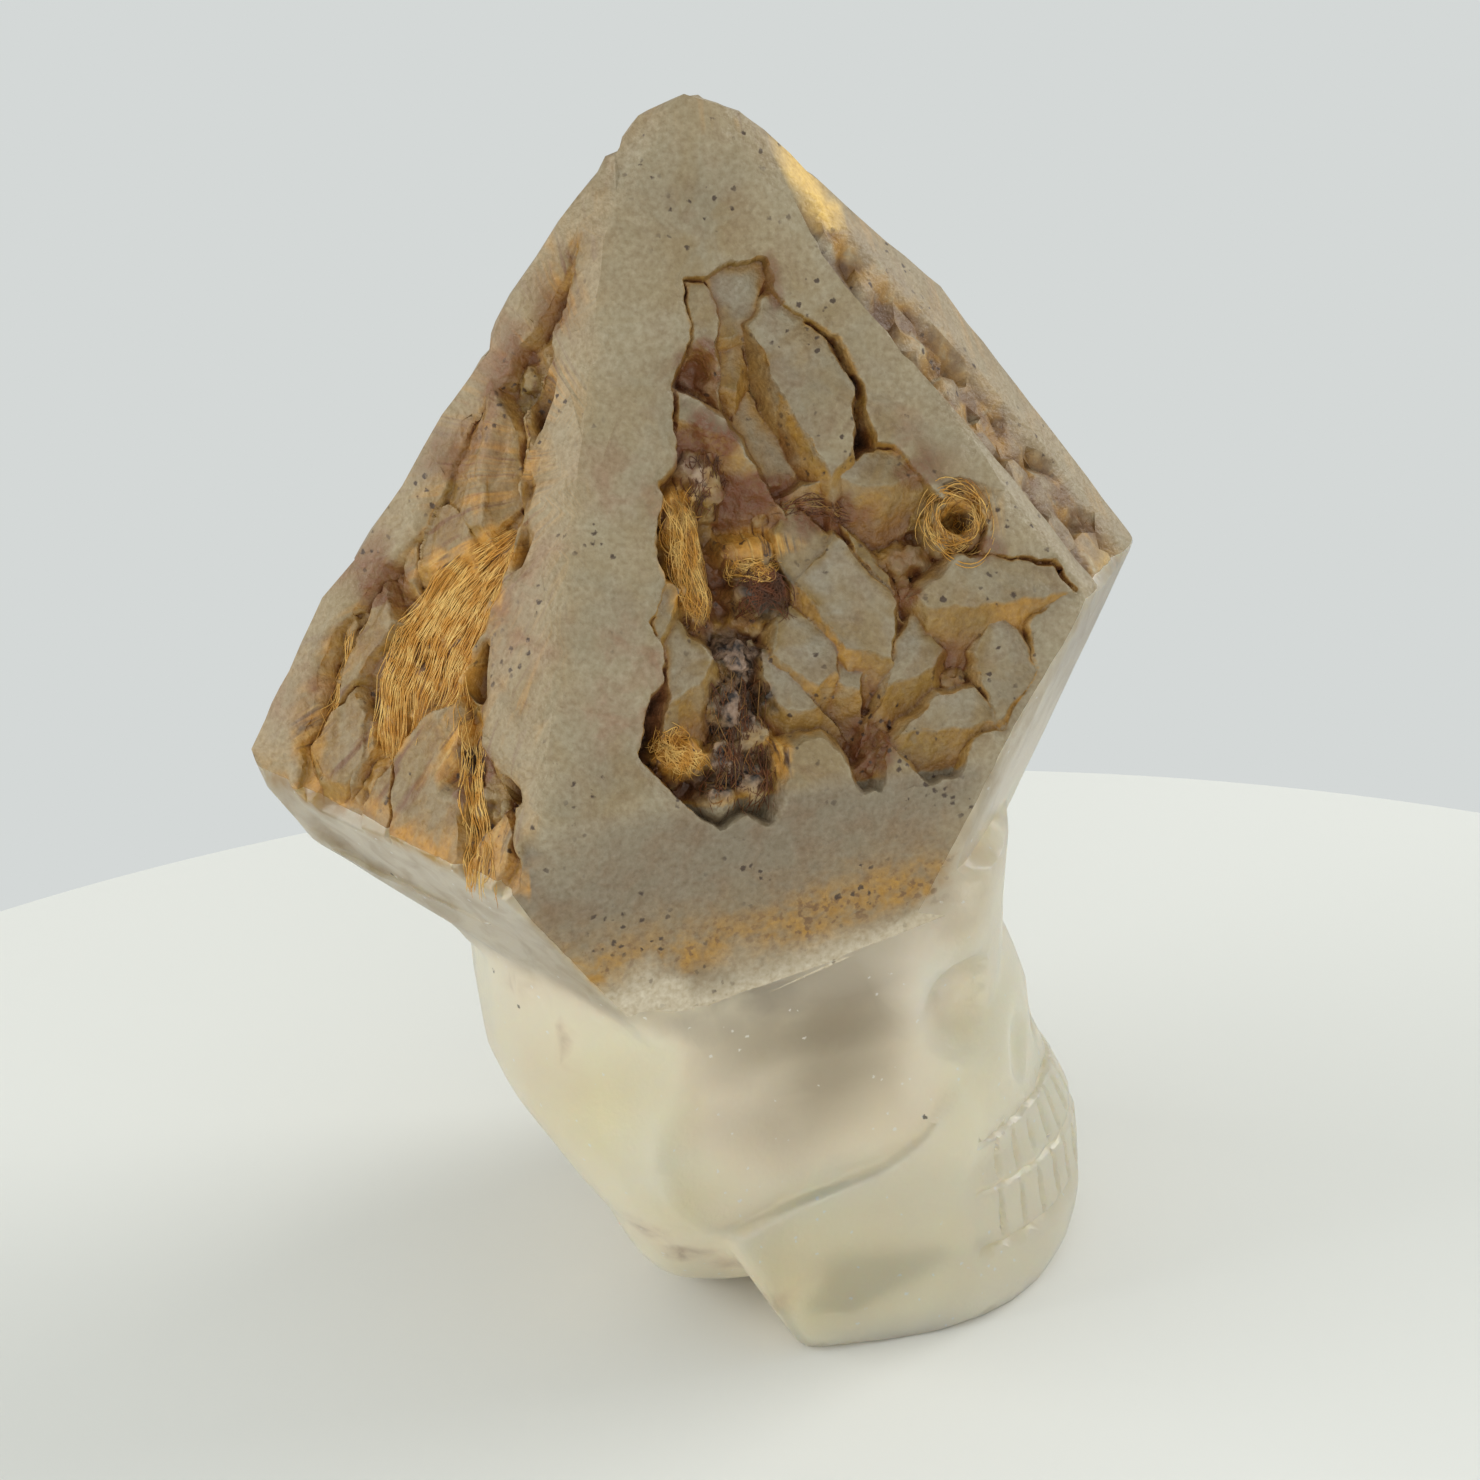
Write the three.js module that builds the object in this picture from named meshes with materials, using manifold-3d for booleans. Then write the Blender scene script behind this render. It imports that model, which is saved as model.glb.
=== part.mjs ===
// A candle quartz skull: one natural quartz crystal, about 12 cm tall. Its six-sided, pitted tip is left
// rough and rises over a skull that is carved from the same piece, and the skull stands on its jaw.
//
// Millimetres, +Z up. The skull looks along +X, turned 5 degrees towards +Y. The tables below give places in
// the carving's own frame, where X = 0 is near the middle of the skull and Z = 0 is the table under the jaw.
// The last step moves the finished solid so that the origin is the centre of its footprint.

import * as THREE from "three";
import { ConvexGeometry } from "three/addons/geometries/ConvexGeometry.js";
import { mergeVertices } from "three/addons/utils/BufferGeometryUtils.js";
import Module from "manifold-3d";

const wasm = await Module();
wasm.setup();

const DEGREE = Math.PI / 180;
const MERGE_DISTANCE = 1e-4;

// The crystal's corners. Its long axis is vertical.
const CORNER = {
  tipLeft: [-5.3, 34.4, 115.5],
  tipSide: [-9, 34, 113.3],
  tipRight: [0.5, 34.6, 113.2],
  tipBack: [-3, 39.5, 111.5],
  frontLeftTop: [-12.2, 25.3, 105.2],
  leftTop: [-16.4, 29.4, 105.4],
  leftUpper: [-29.3, 26.5, 88.4],
  leftMiddle: [-38.2, 21.7, 72.7],
  rightTop: [19.3, 39.2, 93.6],
  frontLeft: [-17.8, -6.2, 61.4],
  frontLeftLow: [-17.5, -6.1, 50.2],
  left: [-45.8, 16.2, 56.9],
  leftLow: [-44.6, 15.8, 53.6],
  leftUnder: [-40.5, 16, 47.5],
  frontRight: [32.2, 16.7, 72.6],
  frontRightLow: [23.7, 6.5, 61.8],
  right: [37.7, 33.4, 70.6],
  backRight: [15, 60, 65],
  backRightLow: [15.5, 58.5, 55],
  backLeft: [-32, 55, 61],
  backLeftLow: [-31, 53.5, 51],
  templeLeft: [-7.8, -3.1, 36.5],
  templeRight: [18.9, 5.1, 47.5],
  forehead: [25.6, 24, 46],
  farTempleRight: [19, 42, 47],
  farTempleLeft: [-10, 47, 39],
  nape: [-24.5, 12, 40.5],
  farNape: [-24.5, 33, 40.5],
};

// A rhombohedral face of the tip: its origin, then two more corners, anticlockwise from outside.
const FACE = {
  front: ["frontLeft", "frontRight", "frontLeftTop"],
  left: ["frontLeft", "frontLeftTop", "left"],
  right: ["frontRight", "right", "tipRight"],
  backRight: ["right", "backRight", "rightTop"],
  back: ["backRight", "backLeft", "tipBack"],
  backLeft: ["backLeft", "left", "leftTop"],
};

// Candle crystals: small upright crystals grown parallel to the big one and fused to its faces. Each row is
// the top of the crystal's broad facet, along and up the face, then the facet's half width and its length,
// and how far it stands proud of the face (negative is sunk).
const PYRAMID_SLOPE = 57 * DEGREE;
const CANDLE = {
  sides: 6,
  // The half depth for each millimetre of the broad facet's length.
  halfDepth: 0.45,
  // How far the broad facet is grown inwards, which makes it larger than the five others.
  growth: 0.35,
  // The broad facet's half width for each millimetre of half depth, before it is stretched.
  facetWidth: 0.82,
  // The stem's length in facet lengths.
  stem: 3,
  twist: 8 * DEGREE,
};
const CRYSTALS = {
  front: [
    [27.4, 27.4, 2.9, 9.5, -2.0], [32.2, 23.6, 4.5, 11.6, -1.0], [37.6, 14.4, 2.9, 5.8, -1.2],
    [28.4, 16.4, 3.7, 7.6, -1.7], [25.0, 13.6, 2.4, 6.4, -2.5], [42.6, 19.8, 4.2, 5.6, -0.9],
    [45.6, 13.8, 3.5, 8.8, -0.3], [39.4, 7.6, 3.3, 3.8, -0.9], [34.2, 3.6, 1.8, 4.2, -0.7],
    [26.6, 4.6, 3.4, 6.6, -0.5], [15.8, 17.0, 1.9, 8.2, -1.1], [32.4, 43.6, 4.0, 13.4, -0.5],
    [37.4, 31.6, 3.9, 5.0, -0.5], [25.6, 41.4, 1.7, 3.6, -3.4], [26.8, 37.2, 2.6, 8.2, -3.4],
    [47.2, 25.2, 2.0, 6.6, -0.2], [22.2, 46.4, 1.2, 8.4, -0.6], [20.4, 37.0, 2.0, 5.4, -1.5],
    [16.6, 28.6, 1.6, 8.0, -1.6], [18.6, 20.6, 1.4, 4.6, -1.8], [31.4, 8.4, 2.2, 4.2, -2.0],
    [49.6, 16.6, 2.2, 4.2, -0.3],
  ],
  left: [
    [-21.4, 35.4, 4.3, 10.6, -0.1], [-21.4, 23.8, 3.0, 6.2, -0.3], [-26.0, 14.4, 2.6, 7.0, -0.2],
    [-24.4, 5.0, 4.0, 6.2, 0.1], [-13.0, 8.2, 5.2, 10.4, 0.0], [-4.6, 0.8, 2.2, 4.4, 0.0],
    [-19.0, -0.2, 2.4, 5.4, -0.6], [-30.6, 11.4, 2.6, 6.4, 0.4], [-31.6, 3.6, 2.6, 5.6, 0.3],
    [-28.2, 22.4, 2.2, 7.4, 0.5], [-25.8, 32.6, 2.0, 7.4, 0.5], [-23.0, 43.0, 1.8, 7.0, 0.5],
    [-18.8, 44.0, 1.8, 6.0, -0.4], [-18.4, 31.6, 1.8, 4.4, -0.8],
  ],
  right: [
    [10.8, 45.4, 1.4, 3.2, -0.6], [10.0, 41.4, 1.5, 3.2, -0.8], [11.6, 38.6, 1.7, 3.6, -0.4],
    [9.2, 35.8, 1.7, 3.2, -0.9], [11.2, 32.2, 1.8, 4.2, -0.5], [8.6, 29.8, 1.9, 3.4, -0.8],
    [11.0, 26.8, 2.0, 3.4, -0.9], [8.0, 23.4, 2.1, 4.4, -0.6], [11.6, 21.4, 1.8, 3.8, -0.3],
    [8.4, 18.2, 2.1, 3.4, -0.9], [12.0, 15.6, 1.8, 4.0, -0.4], [7.2, 13.6, 2.1, 4.2, -0.7],
    [10.2, 10.8, 2.4, 4.2, -0.6], [13.0, 7.6, 1.8, 3.4, -0.6], [6.6, 7.2, 2.1, 4.6, -0.6],
    [10.0, 3.2, 2.6, 3.8, -0.8],
  ],
  backRight: [
    [10.6, 10.4, 2.6, 6.0, -0.4], [17.6, 15.6, 3.2, 8.2, -0.3], [24.0, 17.0, 3.4, 8.6, -0.1],
    [22.0, 26.4, 2.2, 7.6, -0.5], [17.0, 5.0, 3.2, 6.0, -0.4], [25.6, 5.4, 3.4, 6.8, -0.2],
    [30.6, 7.0, 2.2, 6.4, 0.0],
  ],
  back: [
    [9.0, 18.0, 3.6, 8.6, 0.0], [20.0, 33.0, 4.4, 11.0, 0.2], [15.0, 9.0, 3.8, 7.4, -0.3],
    [27.0, 18.0, 4.6, 9.8, 0.1], [36.0, 24.0, 3.4, 8.6, 0.2], [25.0, 47.0, 2.4, 7.4, 0.0],
    [35.0, 8.0, 3.8, 7.6, 0.0], [42.0, 11.0, 2.4, 6.0, 0.1], [17.0, 22.0, 3.0, 6.8, -0.4],
    [25.0, 6.0, 3.4, 6.0, -0.4],
  ],
  backLeft: [
    [8.0, 20.0, 3.4, 8.4, 0.1], [16.0, 33.0, 3.8, 10.0, 0.2], [22.0, 15.0, 4.4, 9.4, 0.1],
    [12.0, 7.0, 3.4, 6.8, -0.2], [30.0, 22.0, 2.8, 8.0, 0.1], [34.0, 9.0, 2.8, 6.8, 0.1],
    [22.0, 45.0, 2.4, 7.0, 0.0], [20.0, 3.0, 3.0, 5.4, -0.3],
  ],
};

// How far a hollow's cutter reaches above the face.
const HEADROOM = 8;

// Hollows that the candle growth left open on a face: outline along and up the face, depth, and how much
// narrower the floor is than the mouth.
const HOLLOWS = [
  {
    face: "front",
    depth: 5.6,
    floor: 0.78,
    outline: [
      [24.0, 42.6], [28.4, 43.4], [28.8, 40.0], [28.6, 36.6], [30.0, 32.4], [33.0, 28.8],
      [35.6, 27.0], [41.6, 26.8], [46.6, 25.2], [48.8, 18.4], [51.2, 14.4], [48.6, 8.6], [44.2, 3.0],
      [40.6, 3.6], [36.2, -0.6], [29.6, -0.6], [26.0, 4.6], [22.4, -3.4], [16.8, -2.8], [13.2, -0.4],
      [9.8, 6.0], [12.0, 10.6], [14.0, 14.0], [14.8, 22.8], [15.8, 29.0], [17.6, 33.4], [18.8, 37.6],
      [22.4, 39.0],
    ],
  },
  {
    face: "front",
    depth: 2.6,
    floor: 0.72,
    outline: [
      [23.0, 46.6], [26.0, 48.2], [30.4, 48.8], [30.0, 45.0], [29.4, 41.0], [29.0, 36.0], [23.0, 36.0],
      [22.0, 41.0],
    ],
  },
  {
    face: "front",
    depth: 0.7,
    floor: 0.95,
    outline: [
      [29.0, 46.8], [33.0, 45.4], [37.0, 40.4], [37.8, 34.6], [42.4, 29.6], [43.6, 24.6], [35.0, 24.0],
      [27.0, 34.0],
    ],
  },
  {
    face: "left",
    depth: 3.0,
    floor: 0.84,
    outline: [
      [-19.5, 49.4], [-18.6, 42.0], [-16.6, 37.4], [-17.0, 32.8], [-14.4, 26.4], [-12.8, 22.2],
      [-14.4, 15.8], [-12.0, 9.4], [-8.0, 3.6], [-3.0, 1.6], [-0.6, -5.0], [-1.0, -14.0],
      [-22.0, -14.0], [-30.0, -6.0], [-30.4, 1.2], [-29.4, 8.0], [-26.4, 14.8], [-25.6, 19.4],
      [-24.6, 24.4], [-23.0, 34.8], [-22.2, 38.0], [-21.0, 46.4],
    ],
  },
  {
    face: "right",
    depth: 2.2,
    floor: 0.8,
    outline: [
      [4.0, -3.6], [13.2, -3.6], [13.8, 8.0], [12.4, 20.0], [11.4, 32.0], [10.6, 42.0], [8.8, 47.6],
      [6.4, 41.0], [5.0, 28.0], [4.4, 12.0],
    ],
  },
  {
    face: "backRight",
    depth: 3.2,
    floor: 0.8,
    outline: [
      [7.0, 2.6], [19.0, -2.0], [31.0, -2.0], [30.0, 10.0], [27.0, 24.0], [23.4, 35.4], [20.6, 33.6],
      [17.6, 22.4],
    ],
  },
  {
    face: "back",
    depth: 3.8,
    floor: 0.8,
    outline: [
      [6.0, 4.0], [20.0, -2.0], [40.0, 1.0], [38.0, 20.0], [30.0, 38.0], [24.0, 48.0], [19.0, 36.0],
      [9.0, 20.0],
    ],
  },
  {
    face: "backLeft",
    depth: 3.4,
    floor: 0.8,
    outline: [
      [7.0, 3.0], [20.0, -2.0], [35.0, 1.0], [33.0, 14.0], [27.0, 32.0], [21.0, 46.0], [15.0, 34.0],
      [7.0, 18.0],
    ],
  },
];

// Where the crystals end: flush with the big crystal's upright front face, and at the carver's cuts below.
const CROPS = [
  ["frontLeft", "frontLeftLow", "templeRight"],
  ["leftLow", "frontLeftLow", "templeLeft"],
  ["frontRight", "right", "frontRightLow"],
  ["right", "backRightLow", "farTempleRight"],
  ["backRightLow", "backLeftLow", "farTempleLeft"],
  ["backLeftLow", "leftUnder", "farNape"],
];

// Rubble on the floor of the deep front hollow: place along and up the face, depth and size.
const RUBBLE = [
  [19.2, 32.6, -2.2, 2.2], [20.6, 29.6, -2.8, 2.0], [24.0, 24.6, -3.4, 2.0], [23.0, 20.6, -3.4, 1.8],
  [25.6, 18.6, -3.4, 1.7], [24.4, 15.6, -3.2, 1.6], [20.8, 13.4, -3.0, 1.9], [22.0, 9.8, -2.8, 1.6],
  [19.0, 8.6, -2.8, 1.8], [20.8, 5.4, -2.4, 2.0], [17.6, 3.6, -2.4, 1.9], [20.6, 0.8, -2.2, 2.2],
  [16.8, 0.2, -1.8, 1.6], [38.4, 19.4, -1.8, 2.0], [42.8, 23.4, -2.0, 1.9], [34.4, 5.4, -2.8, 1.7],
];

const LUMP = { stretch: [0.65, 1.2], flatness: [0.55, 0.95] };

// The skull's own frame: where its middle plane crosses X = 0, and the way it looks.
const SKULL = { y: 23, turn: 5 * DEGREE };

// Level sections of the two blanks that the skull is carved from: height, rearmost and foremost reach, half
// width, where it is widest, and how square the rear and the front of the section are (2 is an ellipse).
const CRANIUM = [
  [0, -9, 2, 11, -3, 2.2, 2.2],
  [2.4, -10.6, 7, 14.5, -3, 2.6, 2.2],
  [5, -12, 13, 18, -3, 3.2, 2.4],
  [8, -13.4, 19, 20, -3, 3.4, 2.6],
  [12, -15.6, 22, 23, 0, 3, 2.6],
  [16, -18.2, 23.4, 25.6, 1, 3, 2.4],
  [21, -22, 24.4, 27, 2, 2.7, 2.3],
  [25.4, -25.2, 25, 27, 2, 2.6, 2.3],
  [31, -26, 25.2, 26, 2, 2.5, 2.3],
  [40, -26.6, 25, 26, 2, 2.4, 2.5],
  [50, -27, 25, 26, 2, 2.4, 3],
];
const JAW = [
  [0, 3.2, 32.2, 23.4, 6, 6, 2.3],
  [1.4, 2.4, 33.4, 24.4, 6, 6, 2.2],
  [4.5, 0.4, 34, 25, 6, 6, 2],
  [8, -1.8, 34, 25.4, 6, 6, 1.8],
  [12, -4, 33.5, 26, 6, 6, 1.7],
  [15.4, -5.6, 32.4, 26, 6, 6, 1.65],
  [17.8, 8, 31, 25, 9, 6, 1.65],
  [20, 14, 29.5, 23.4, 15, 6, 1.7],
  [22.6, 16.4, 28.6, 21.6, 17, 5, 1.8],
  [26, 18.6, 28.4, 20, 19, 5, 1.8],
  [29.6, 20, 27.2, 18, 20.5, 4, 1.8],
  [33.4, 21, 25.2, 13, 21, 4, 2],
];
const SECTION_POINTS = 32;
const LEVEL_STEP = 2.4;

// The temples are flat walls: the near one is the crystal's own upright face and the far one its mirror
// image. Both face a little forward. The cheeks stand a step further out, and lean out towards the base.
const TEMPLE_WALL = { reach: 22.7, forward: 12 * DEGREE };
const CHEEK = { step: 0.9, lean: 3.6 * DEGREE, level: 22 };

// The carved features, in the skull's frame: forward, sideways and up.
const ORBIT = { at: [20.8, 20, 34.9], size: [5.2, 6.1, 5.9], turn: 40 * DEGREE };
const NOSTRIL = { at: [29.6, 2.4, 24.8], size: [2.6, 1.8, 3.8] };
const CHEEK_HOLLOW = { at: [29.4, 12.6, 26.6], size: [4.6, 5.2, 6.6], turn: 40 * DEGREE };
const BROW_SCOOP = { at: [25.2, 18.6, 45.6], size: [3.4, 3.6, 5] };
const TEMPLE_DISH = { at: [4.6, 27.7, 28], size: [26, 6, 21], turn: -12 * DEGREE, detail: 26 };

const MOUTH = {
  centre: 14,
  lines: [6.6, 12.6, 18.2],
  reach: 70 * DEGREE,
  smile: 1.5,
  teeth: 15,
};
const GUM_LINE = { depth: 0.7, width: 0.7 };
const TOOTH_GAP = { depth: 1, wheel: 4, hub: 2 };

const v3 = (p) => new THREE.Vector3(...p);
const corner = (name) => v3(CORNER[name]);
const MIDDLE = new THREE.Vector3(0, 27, 70);

function solidOf(geometry) {
  const bare = new THREE.BufferGeometry();
  bare.setAttribute("position", geometry.getAttribute("position"));
  if (geometry.index) bare.setIndex(geometry.index);
  const merged = mergeVertices(bare, MERGE_DISTANCE);
  return new wasm.Manifold(
    new wasm.Mesh({
      numProp: 3,
      vertProperties: Float32Array.from(merged.attributes.position.array),
      triVerts: Uint32Array.from(merged.index.array),
    }),
  );
}

function geometryOf(solid) {
  const mesh = solid.getMesh();
  const position = new Float32Array(mesh.numVert * 3);
  for (let i = 0; i < mesh.numVert; i++) {
    const start = i * mesh.numProp;
    position.set(mesh.vertProperties.subarray(start, start + 3), i * 3);
  }
  const geometry = new THREE.BufferGeometry();
  geometry.setAttribute("position", new THREE.BufferAttribute(position, 3));
  geometry.setIndex(new THREE.BufferAttribute(Uint32Array.from(mesh.triVerts), 1));
  return geometry;
}

// A repeatable stream of numbers from 0 to 1.
function randomFrom(seed) {
  let state = seed;
  return () => {
    state = (state + 0x6d2b79f5) | 0;
    let t = Math.imul(state ^ (state >>> 15), 1 | state);
    t = (t + Math.imul(t ^ (t >>> 7), 61 | t)) ^ t;
    return ((t ^ (t >>> 14)) >>> 0) / 4294967296;
  };
}

// Axes of a face of the tip: level along it, up its slope, and out of it.
function faceFrame(name) {
  const [origin, second, third] = FACE[name].map(corner);
  const out = second.clone().sub(origin).cross(third.clone().sub(origin)).normalize();
  const along = new THREE.Vector3(-out.y, out.x, 0).normalize();
  const up = out.clone().cross(along);
  const azimuth = Math.atan2(out.y, out.x);
  const at = (u, v, h) =>
    origin.clone().addScaledVector(along, u).addScaledVector(up, v).addScaledVector(out, h);
  return { origin, along, up, out, azimuth, at };
}

// One upright six-sided crystal whose broad facet lies on the front face's slope: the facet's top is at the
// origin, and the crystal faces along azimuth.
function candleCrystal(halfWidth, facet, azimuth) {
  const halfDepth = facet * CANDLE.halfDepth;
  const radius = halfDepth / Math.cos(Math.PI / CANDLE.sides);
  const growth = halfDepth * CANDLE.growth;
  const rise = Math.tan(PYRAMID_SLOPE);
  const bottom = -CANDLE.stem * facet;
  const profile = [
    new THREE.Vector2(0, bottom),
    new THREE.Vector2(radius, bottom),
    new THREE.Vector2(radius, -halfDepth * rise),
    new THREE.Vector2(0, 0),
  ];
  const geometry = new THREE.LatheGeometry(profile, CANDLE.sides);
  geometry.rotateX(90 * DEGREE);
  geometry.scale(1, halfWidth / (halfDepth * CANDLE.facetWidth), 1);
  const slope = [Math.sin(PYRAMID_SLOPE), 0, Math.cos(PYRAMID_SLOPE)];
  const cut = solidOf(geometry).trimByPlane(slope.map((x) => -x), growth);
  const top = growth / (2 * slope[0]);
  return cut.translate([top, 0, top * rise]).rotate([0, 0, azimuth / DEGREE]);
}

function crystalsOn(name, random) {
  const frame = faceFrame(name);
  return CRYSTALS[name].map(([u, v, halfWidth, facet, proud]) => {
    const twist = (random() - 0.5) * CANDLE.twist;
    const place = frame.at(u, v, proud).toArray();
    return candleCrystal(halfWidth, facet, frame.azimuth + twist).translate(place);
  });
}

// A tapered prism on a face's own axes, from well above the face down to the hollow's floor.
function hollowOf({ face, depth, floor, outline }) {
  const frame = faceFrame(face);
  const shape = new THREE.Shape(outline.map(([u, v]) => new THREE.Vector2(u, v)));
  const geometry = new THREE.ExtrudeGeometry(shape, { depth: depth + HEADROOM, bevelEnabled: false });
  const middle = outline.reduce(([a, b], [u, v]) => [a + u, b + v]).map((sum) => sum / outline.length);
  const position = geometry.attributes.position;
  const spread = 1 + ((1 - floor) * HEADROOM) / depth;
  for (let i = 0; i < position.count; i++) {
    const scale = position.getZ(i) > 0 ? spread : floor;
    position.setX(i, middle[0] + (position.getX(i) - middle[0]) * scale);
    position.setY(i, middle[1] + (position.getY(i) - middle[1]) * scale);
  }
  geometry.translate(0, 0, -depth);
  const place = new THREE.Matrix4().makeBasis(frame.along, frame.up, frame.out).setPosition(frame.origin);
  geometry.applyMatrix4(place);
  return solidOf(geometry);
}

// An irregular stone: each corner is pushed in or out, and the whole is flattened and turned.
function lump(centre, size, random) {
  const geometry = mergeVertices(bareOf(new THREE.IcosahedronGeometry(size, 0)), MERGE_DISTANCE);
  const position = geometry.attributes.position;
  for (let i = 0; i < position.count; i++) {
    const stretch = THREE.MathUtils.lerp(...LUMP.stretch, random());
    position.setXYZ(i, position.getX(i) * stretch, position.getY(i) * stretch, position.getZ(i) * stretch);
  }
  geometry.scale(1, THREE.MathUtils.lerp(...LUMP.flatness, random()), 1);
  geometry.rotateX(random() * Math.PI);
  geometry.rotateZ(random() * Math.PI);
  geometry.translate(...centre);
  return solidOf(geometry);
}

function bareOf(geometry) {
  const bare = new THREE.BufferGeometry();
  bare.setAttribute("position", geometry.getAttribute("position"));
  return bare;
}

// Cuts a solid off at the plane through three corners, keeping the crystal's side.
function crop(solid, names) {
  const [a, b, c] = names.map(corner);
  const out = b.clone().sub(a).cross(c.clone().sub(a)).normalize();
  if (out.dot(a) < out.dot(MIDDLE)) out.negate();
  return solid.trimByPlane(out.clone().negate().toArray(), -out.dot(a));
}

function crystalTip() {
  const random = randomFrom(7);
  let growth = null;
  for (const name of Object.keys(CRYSTALS)) {
    for (const crystal of crystalsOn(name, random)) growth = growth ? growth.add(crystal) : crystal;
  }
  const front = faceFrame("front");
  for (const [u, v, depth, radius] of RUBBLE) {
    growth = growth.add(lump(front.at(u, v, depth), radius, random));
  }
  for (const names of CROPS) growth = crop(growth, names);
  let tip = solidOf(new ConvexGeometry(Object.keys(CORNER).map(corner)));
  for (const hollow of HOLLOWS) tip = tip.subtract(hollowOf(hollow));
  return tip.add(growth);
}

// Half-way values between two rows of a section table.
function sectionAt(table, z) {
  const last = table.length - 1;
  let i = 0;
  while (i < last - 1 && table[i + 1][0] < z) i++;
  const t = THREE.MathUtils.clamp((z - table[i][0]) / (table[i + 1][0] - table[i][0]), 0, 1);
  const [, rear, front, half, widest, rearSquare, frontSquare] = table[i].map((value, k) =>
    THREE.MathUtils.lerp(value, table[i + 1][k], t),
  );
  return { rear, front, half, widest, rearSquare, frontSquare };
}

// A point on a section's outline: angle 0 looks forward, and 90 degrees is the skull's right side.
function outlinePoint(section, angle) {
  const c = Math.cos(angle);
  const s = Math.sin(angle);
  const power = 2 / (c > 0 ? section.frontSquare : section.rearSquare);
  const reach = c > 0 ? section.front - section.widest : section.widest - section.rear;
  return {
    forward: section.widest + Math.sign(c) * reach * Math.abs(c) ** power,
    side: Math.sign(s) * section.half * Math.abs(s) ** power,
  };
}

function toCarving(forward, side, up) {
  const c = Math.cos(SKULL.turn);
  const s = Math.sin(SKULL.turn);
  return new THREE.Vector3(forward * c + side * s, SKULL.y + forward * s - side * c, up);
}

// A closed blank through a table's sections.
function blankOf(table) {
  const bottom = table[0][0];
  const top = table[table.length - 1][0];
  const steps = Math.ceil((top - bottom) / LEVEL_STEP);
  const points = [];
  for (let level = 0; level <= steps; level++) {
    const z = bottom + ((top - bottom) * level) / steps;
    const section = sectionAt(table, z);
    for (let k = 0; k < SECTION_POINTS; k++) {
      const { forward, side } = outlinePoint(section, (-2 * Math.PI * k) / SECTION_POINTS);
      points.push(toCarving(forward, side, z));
    }
  }
  const index = [];
  for (let level = 0; level < steps; level++) {
    for (let k = 0; k < SECTION_POINTS; k++) {
      const a = level * SECTION_POINTS + k;
      const b = level * SECTION_POINTS + ((k + 1) % SECTION_POINTS);
      index.push(a, b, b + SECTION_POINTS, a, b + SECTION_POINTS, a + SECTION_POINTS);
    }
  }
  const roof = steps * SECTION_POINTS;
  for (let k = 1; k < SECTION_POINTS - 1; k++) {
    index.push(0, k + 1, k, roof, roof + k, roof + k + 1);
  }
  const geometry = new THREE.BufferGeometry().setFromPoints(points);
  geometry.setIndex(index);
  return solidOf(geometry);
}

// A rounded cutter placed in the skull's frame, on the side given by mirror (1 is right, -1 is left).
function cutter({ at, size, turn = 0, detail = 14 }, mirror) {
  const geometry = new THREE.SphereGeometry(1, detail, Math.round(detail * 0.7));
  geometry.rotateX(90 * DEGREE);
  geometry.scale(...size);
  geometry.rotateZ(SKULL.turn - turn * mirror);
  geometry.translate(...toCarving(at[0], at[1] * mirror, at[2]));
  return solidOf(geometry);
}

// A place on the jaw's surface at a height and at an angle about the mouth's centre.
function lipPoint(angle, z) {
  const section = sectionAt(JAW, z);
  const miss = ({ forward, side }) => Math.abs(Math.atan2(side, forward - MOUTH.centre) - angle);
  let best = outlinePoint(section, 0);
  for (let degrees = -90; degrees <= 90; degrees++) {
    const point = outlinePoint(section, degrees * DEGREE);
    if (miss(point) < miss(best)) best = point;
  }
  return best;
}

const lipRadius = (angle, z) => {
  const { forward, side } = lipPoint(angle, z);
  return Math.hypot(forward - MOUTH.centre, side);
};

// How much the corners of the mouth rise above its middle.
const smileAt = (angle) => MOUTH.smile * (angle / MOUTH.reach) ** 2;

// The long groove between teeth and gum, or between upper and lower teeth.
function gumLine(z) {
  const steps = 14;
  const clearance = 3;
  const points = [];
  for (let k = 0; k <= steps; k++) {
    const angle = MOUTH.reach * ((2 * k) / steps - 1);
    const radius = lipRadius(angle, z);
    const low = z + smileAt(angle) - GUM_LINE.width / 2;
    for (const [r, up] of [
      [radius - GUM_LINE.depth, 0],
      [radius + clearance, 0],
      [radius + clearance, GUM_LINE.width],
      [radius - GUM_LINE.depth, GUM_LINE.width],
    ]) {
      points.push(toCarving(MOUTH.centre + r * Math.cos(angle), r * Math.sin(angle), low + up));
    }
  }
  const index = [0, 2, 1, 0, 3, 2];
  for (let k = 0; k < steps; k++) {
    for (let side = 0; side < 4; side++) {
      const a = k * 4 + side;
      const b = k * 4 + ((side + 1) % 4);
      index.push(a, b, a + 4, b, b + 4, a + 4);
    }
  }
  const end = steps * 4;
  index.push(end, end + 1, end + 2, end, end + 2, end + 3);
  const geometry = new THREE.BufferGeometry().setFromPoints(points);
  geometry.setIndex(index);
  return solidOf(geometry);
}

// The cut of a thin carving wheel between two teeth: deep half way and running out at both ends.
function toothGap(angle, z) {
  const { depth, wheel, hub } = TOOTH_GAP;
  const profile = [new THREE.Vector2(0, -hub), new THREE.Vector2(wheel, 0), new THREE.Vector2(0, hub)];
  const slope = Math.atan2(lipRadius(angle, z + 2.5) - lipRadius(angle, z - 2.5), 5);
  const geometry = new THREE.LatheGeometry(profile, 18);
  const inset = wheel - depth;
  geometry.translate(lipRadius(angle, z) + inset * Math.cos(slope), 0, -inset * Math.sin(slope));
  geometry.rotateZ(SKULL.turn - angle);
  geometry.translate(...toCarving(MOUTH.centre, 0, z + smileAt(angle)));
  return solidOf(geometry);
}

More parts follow.
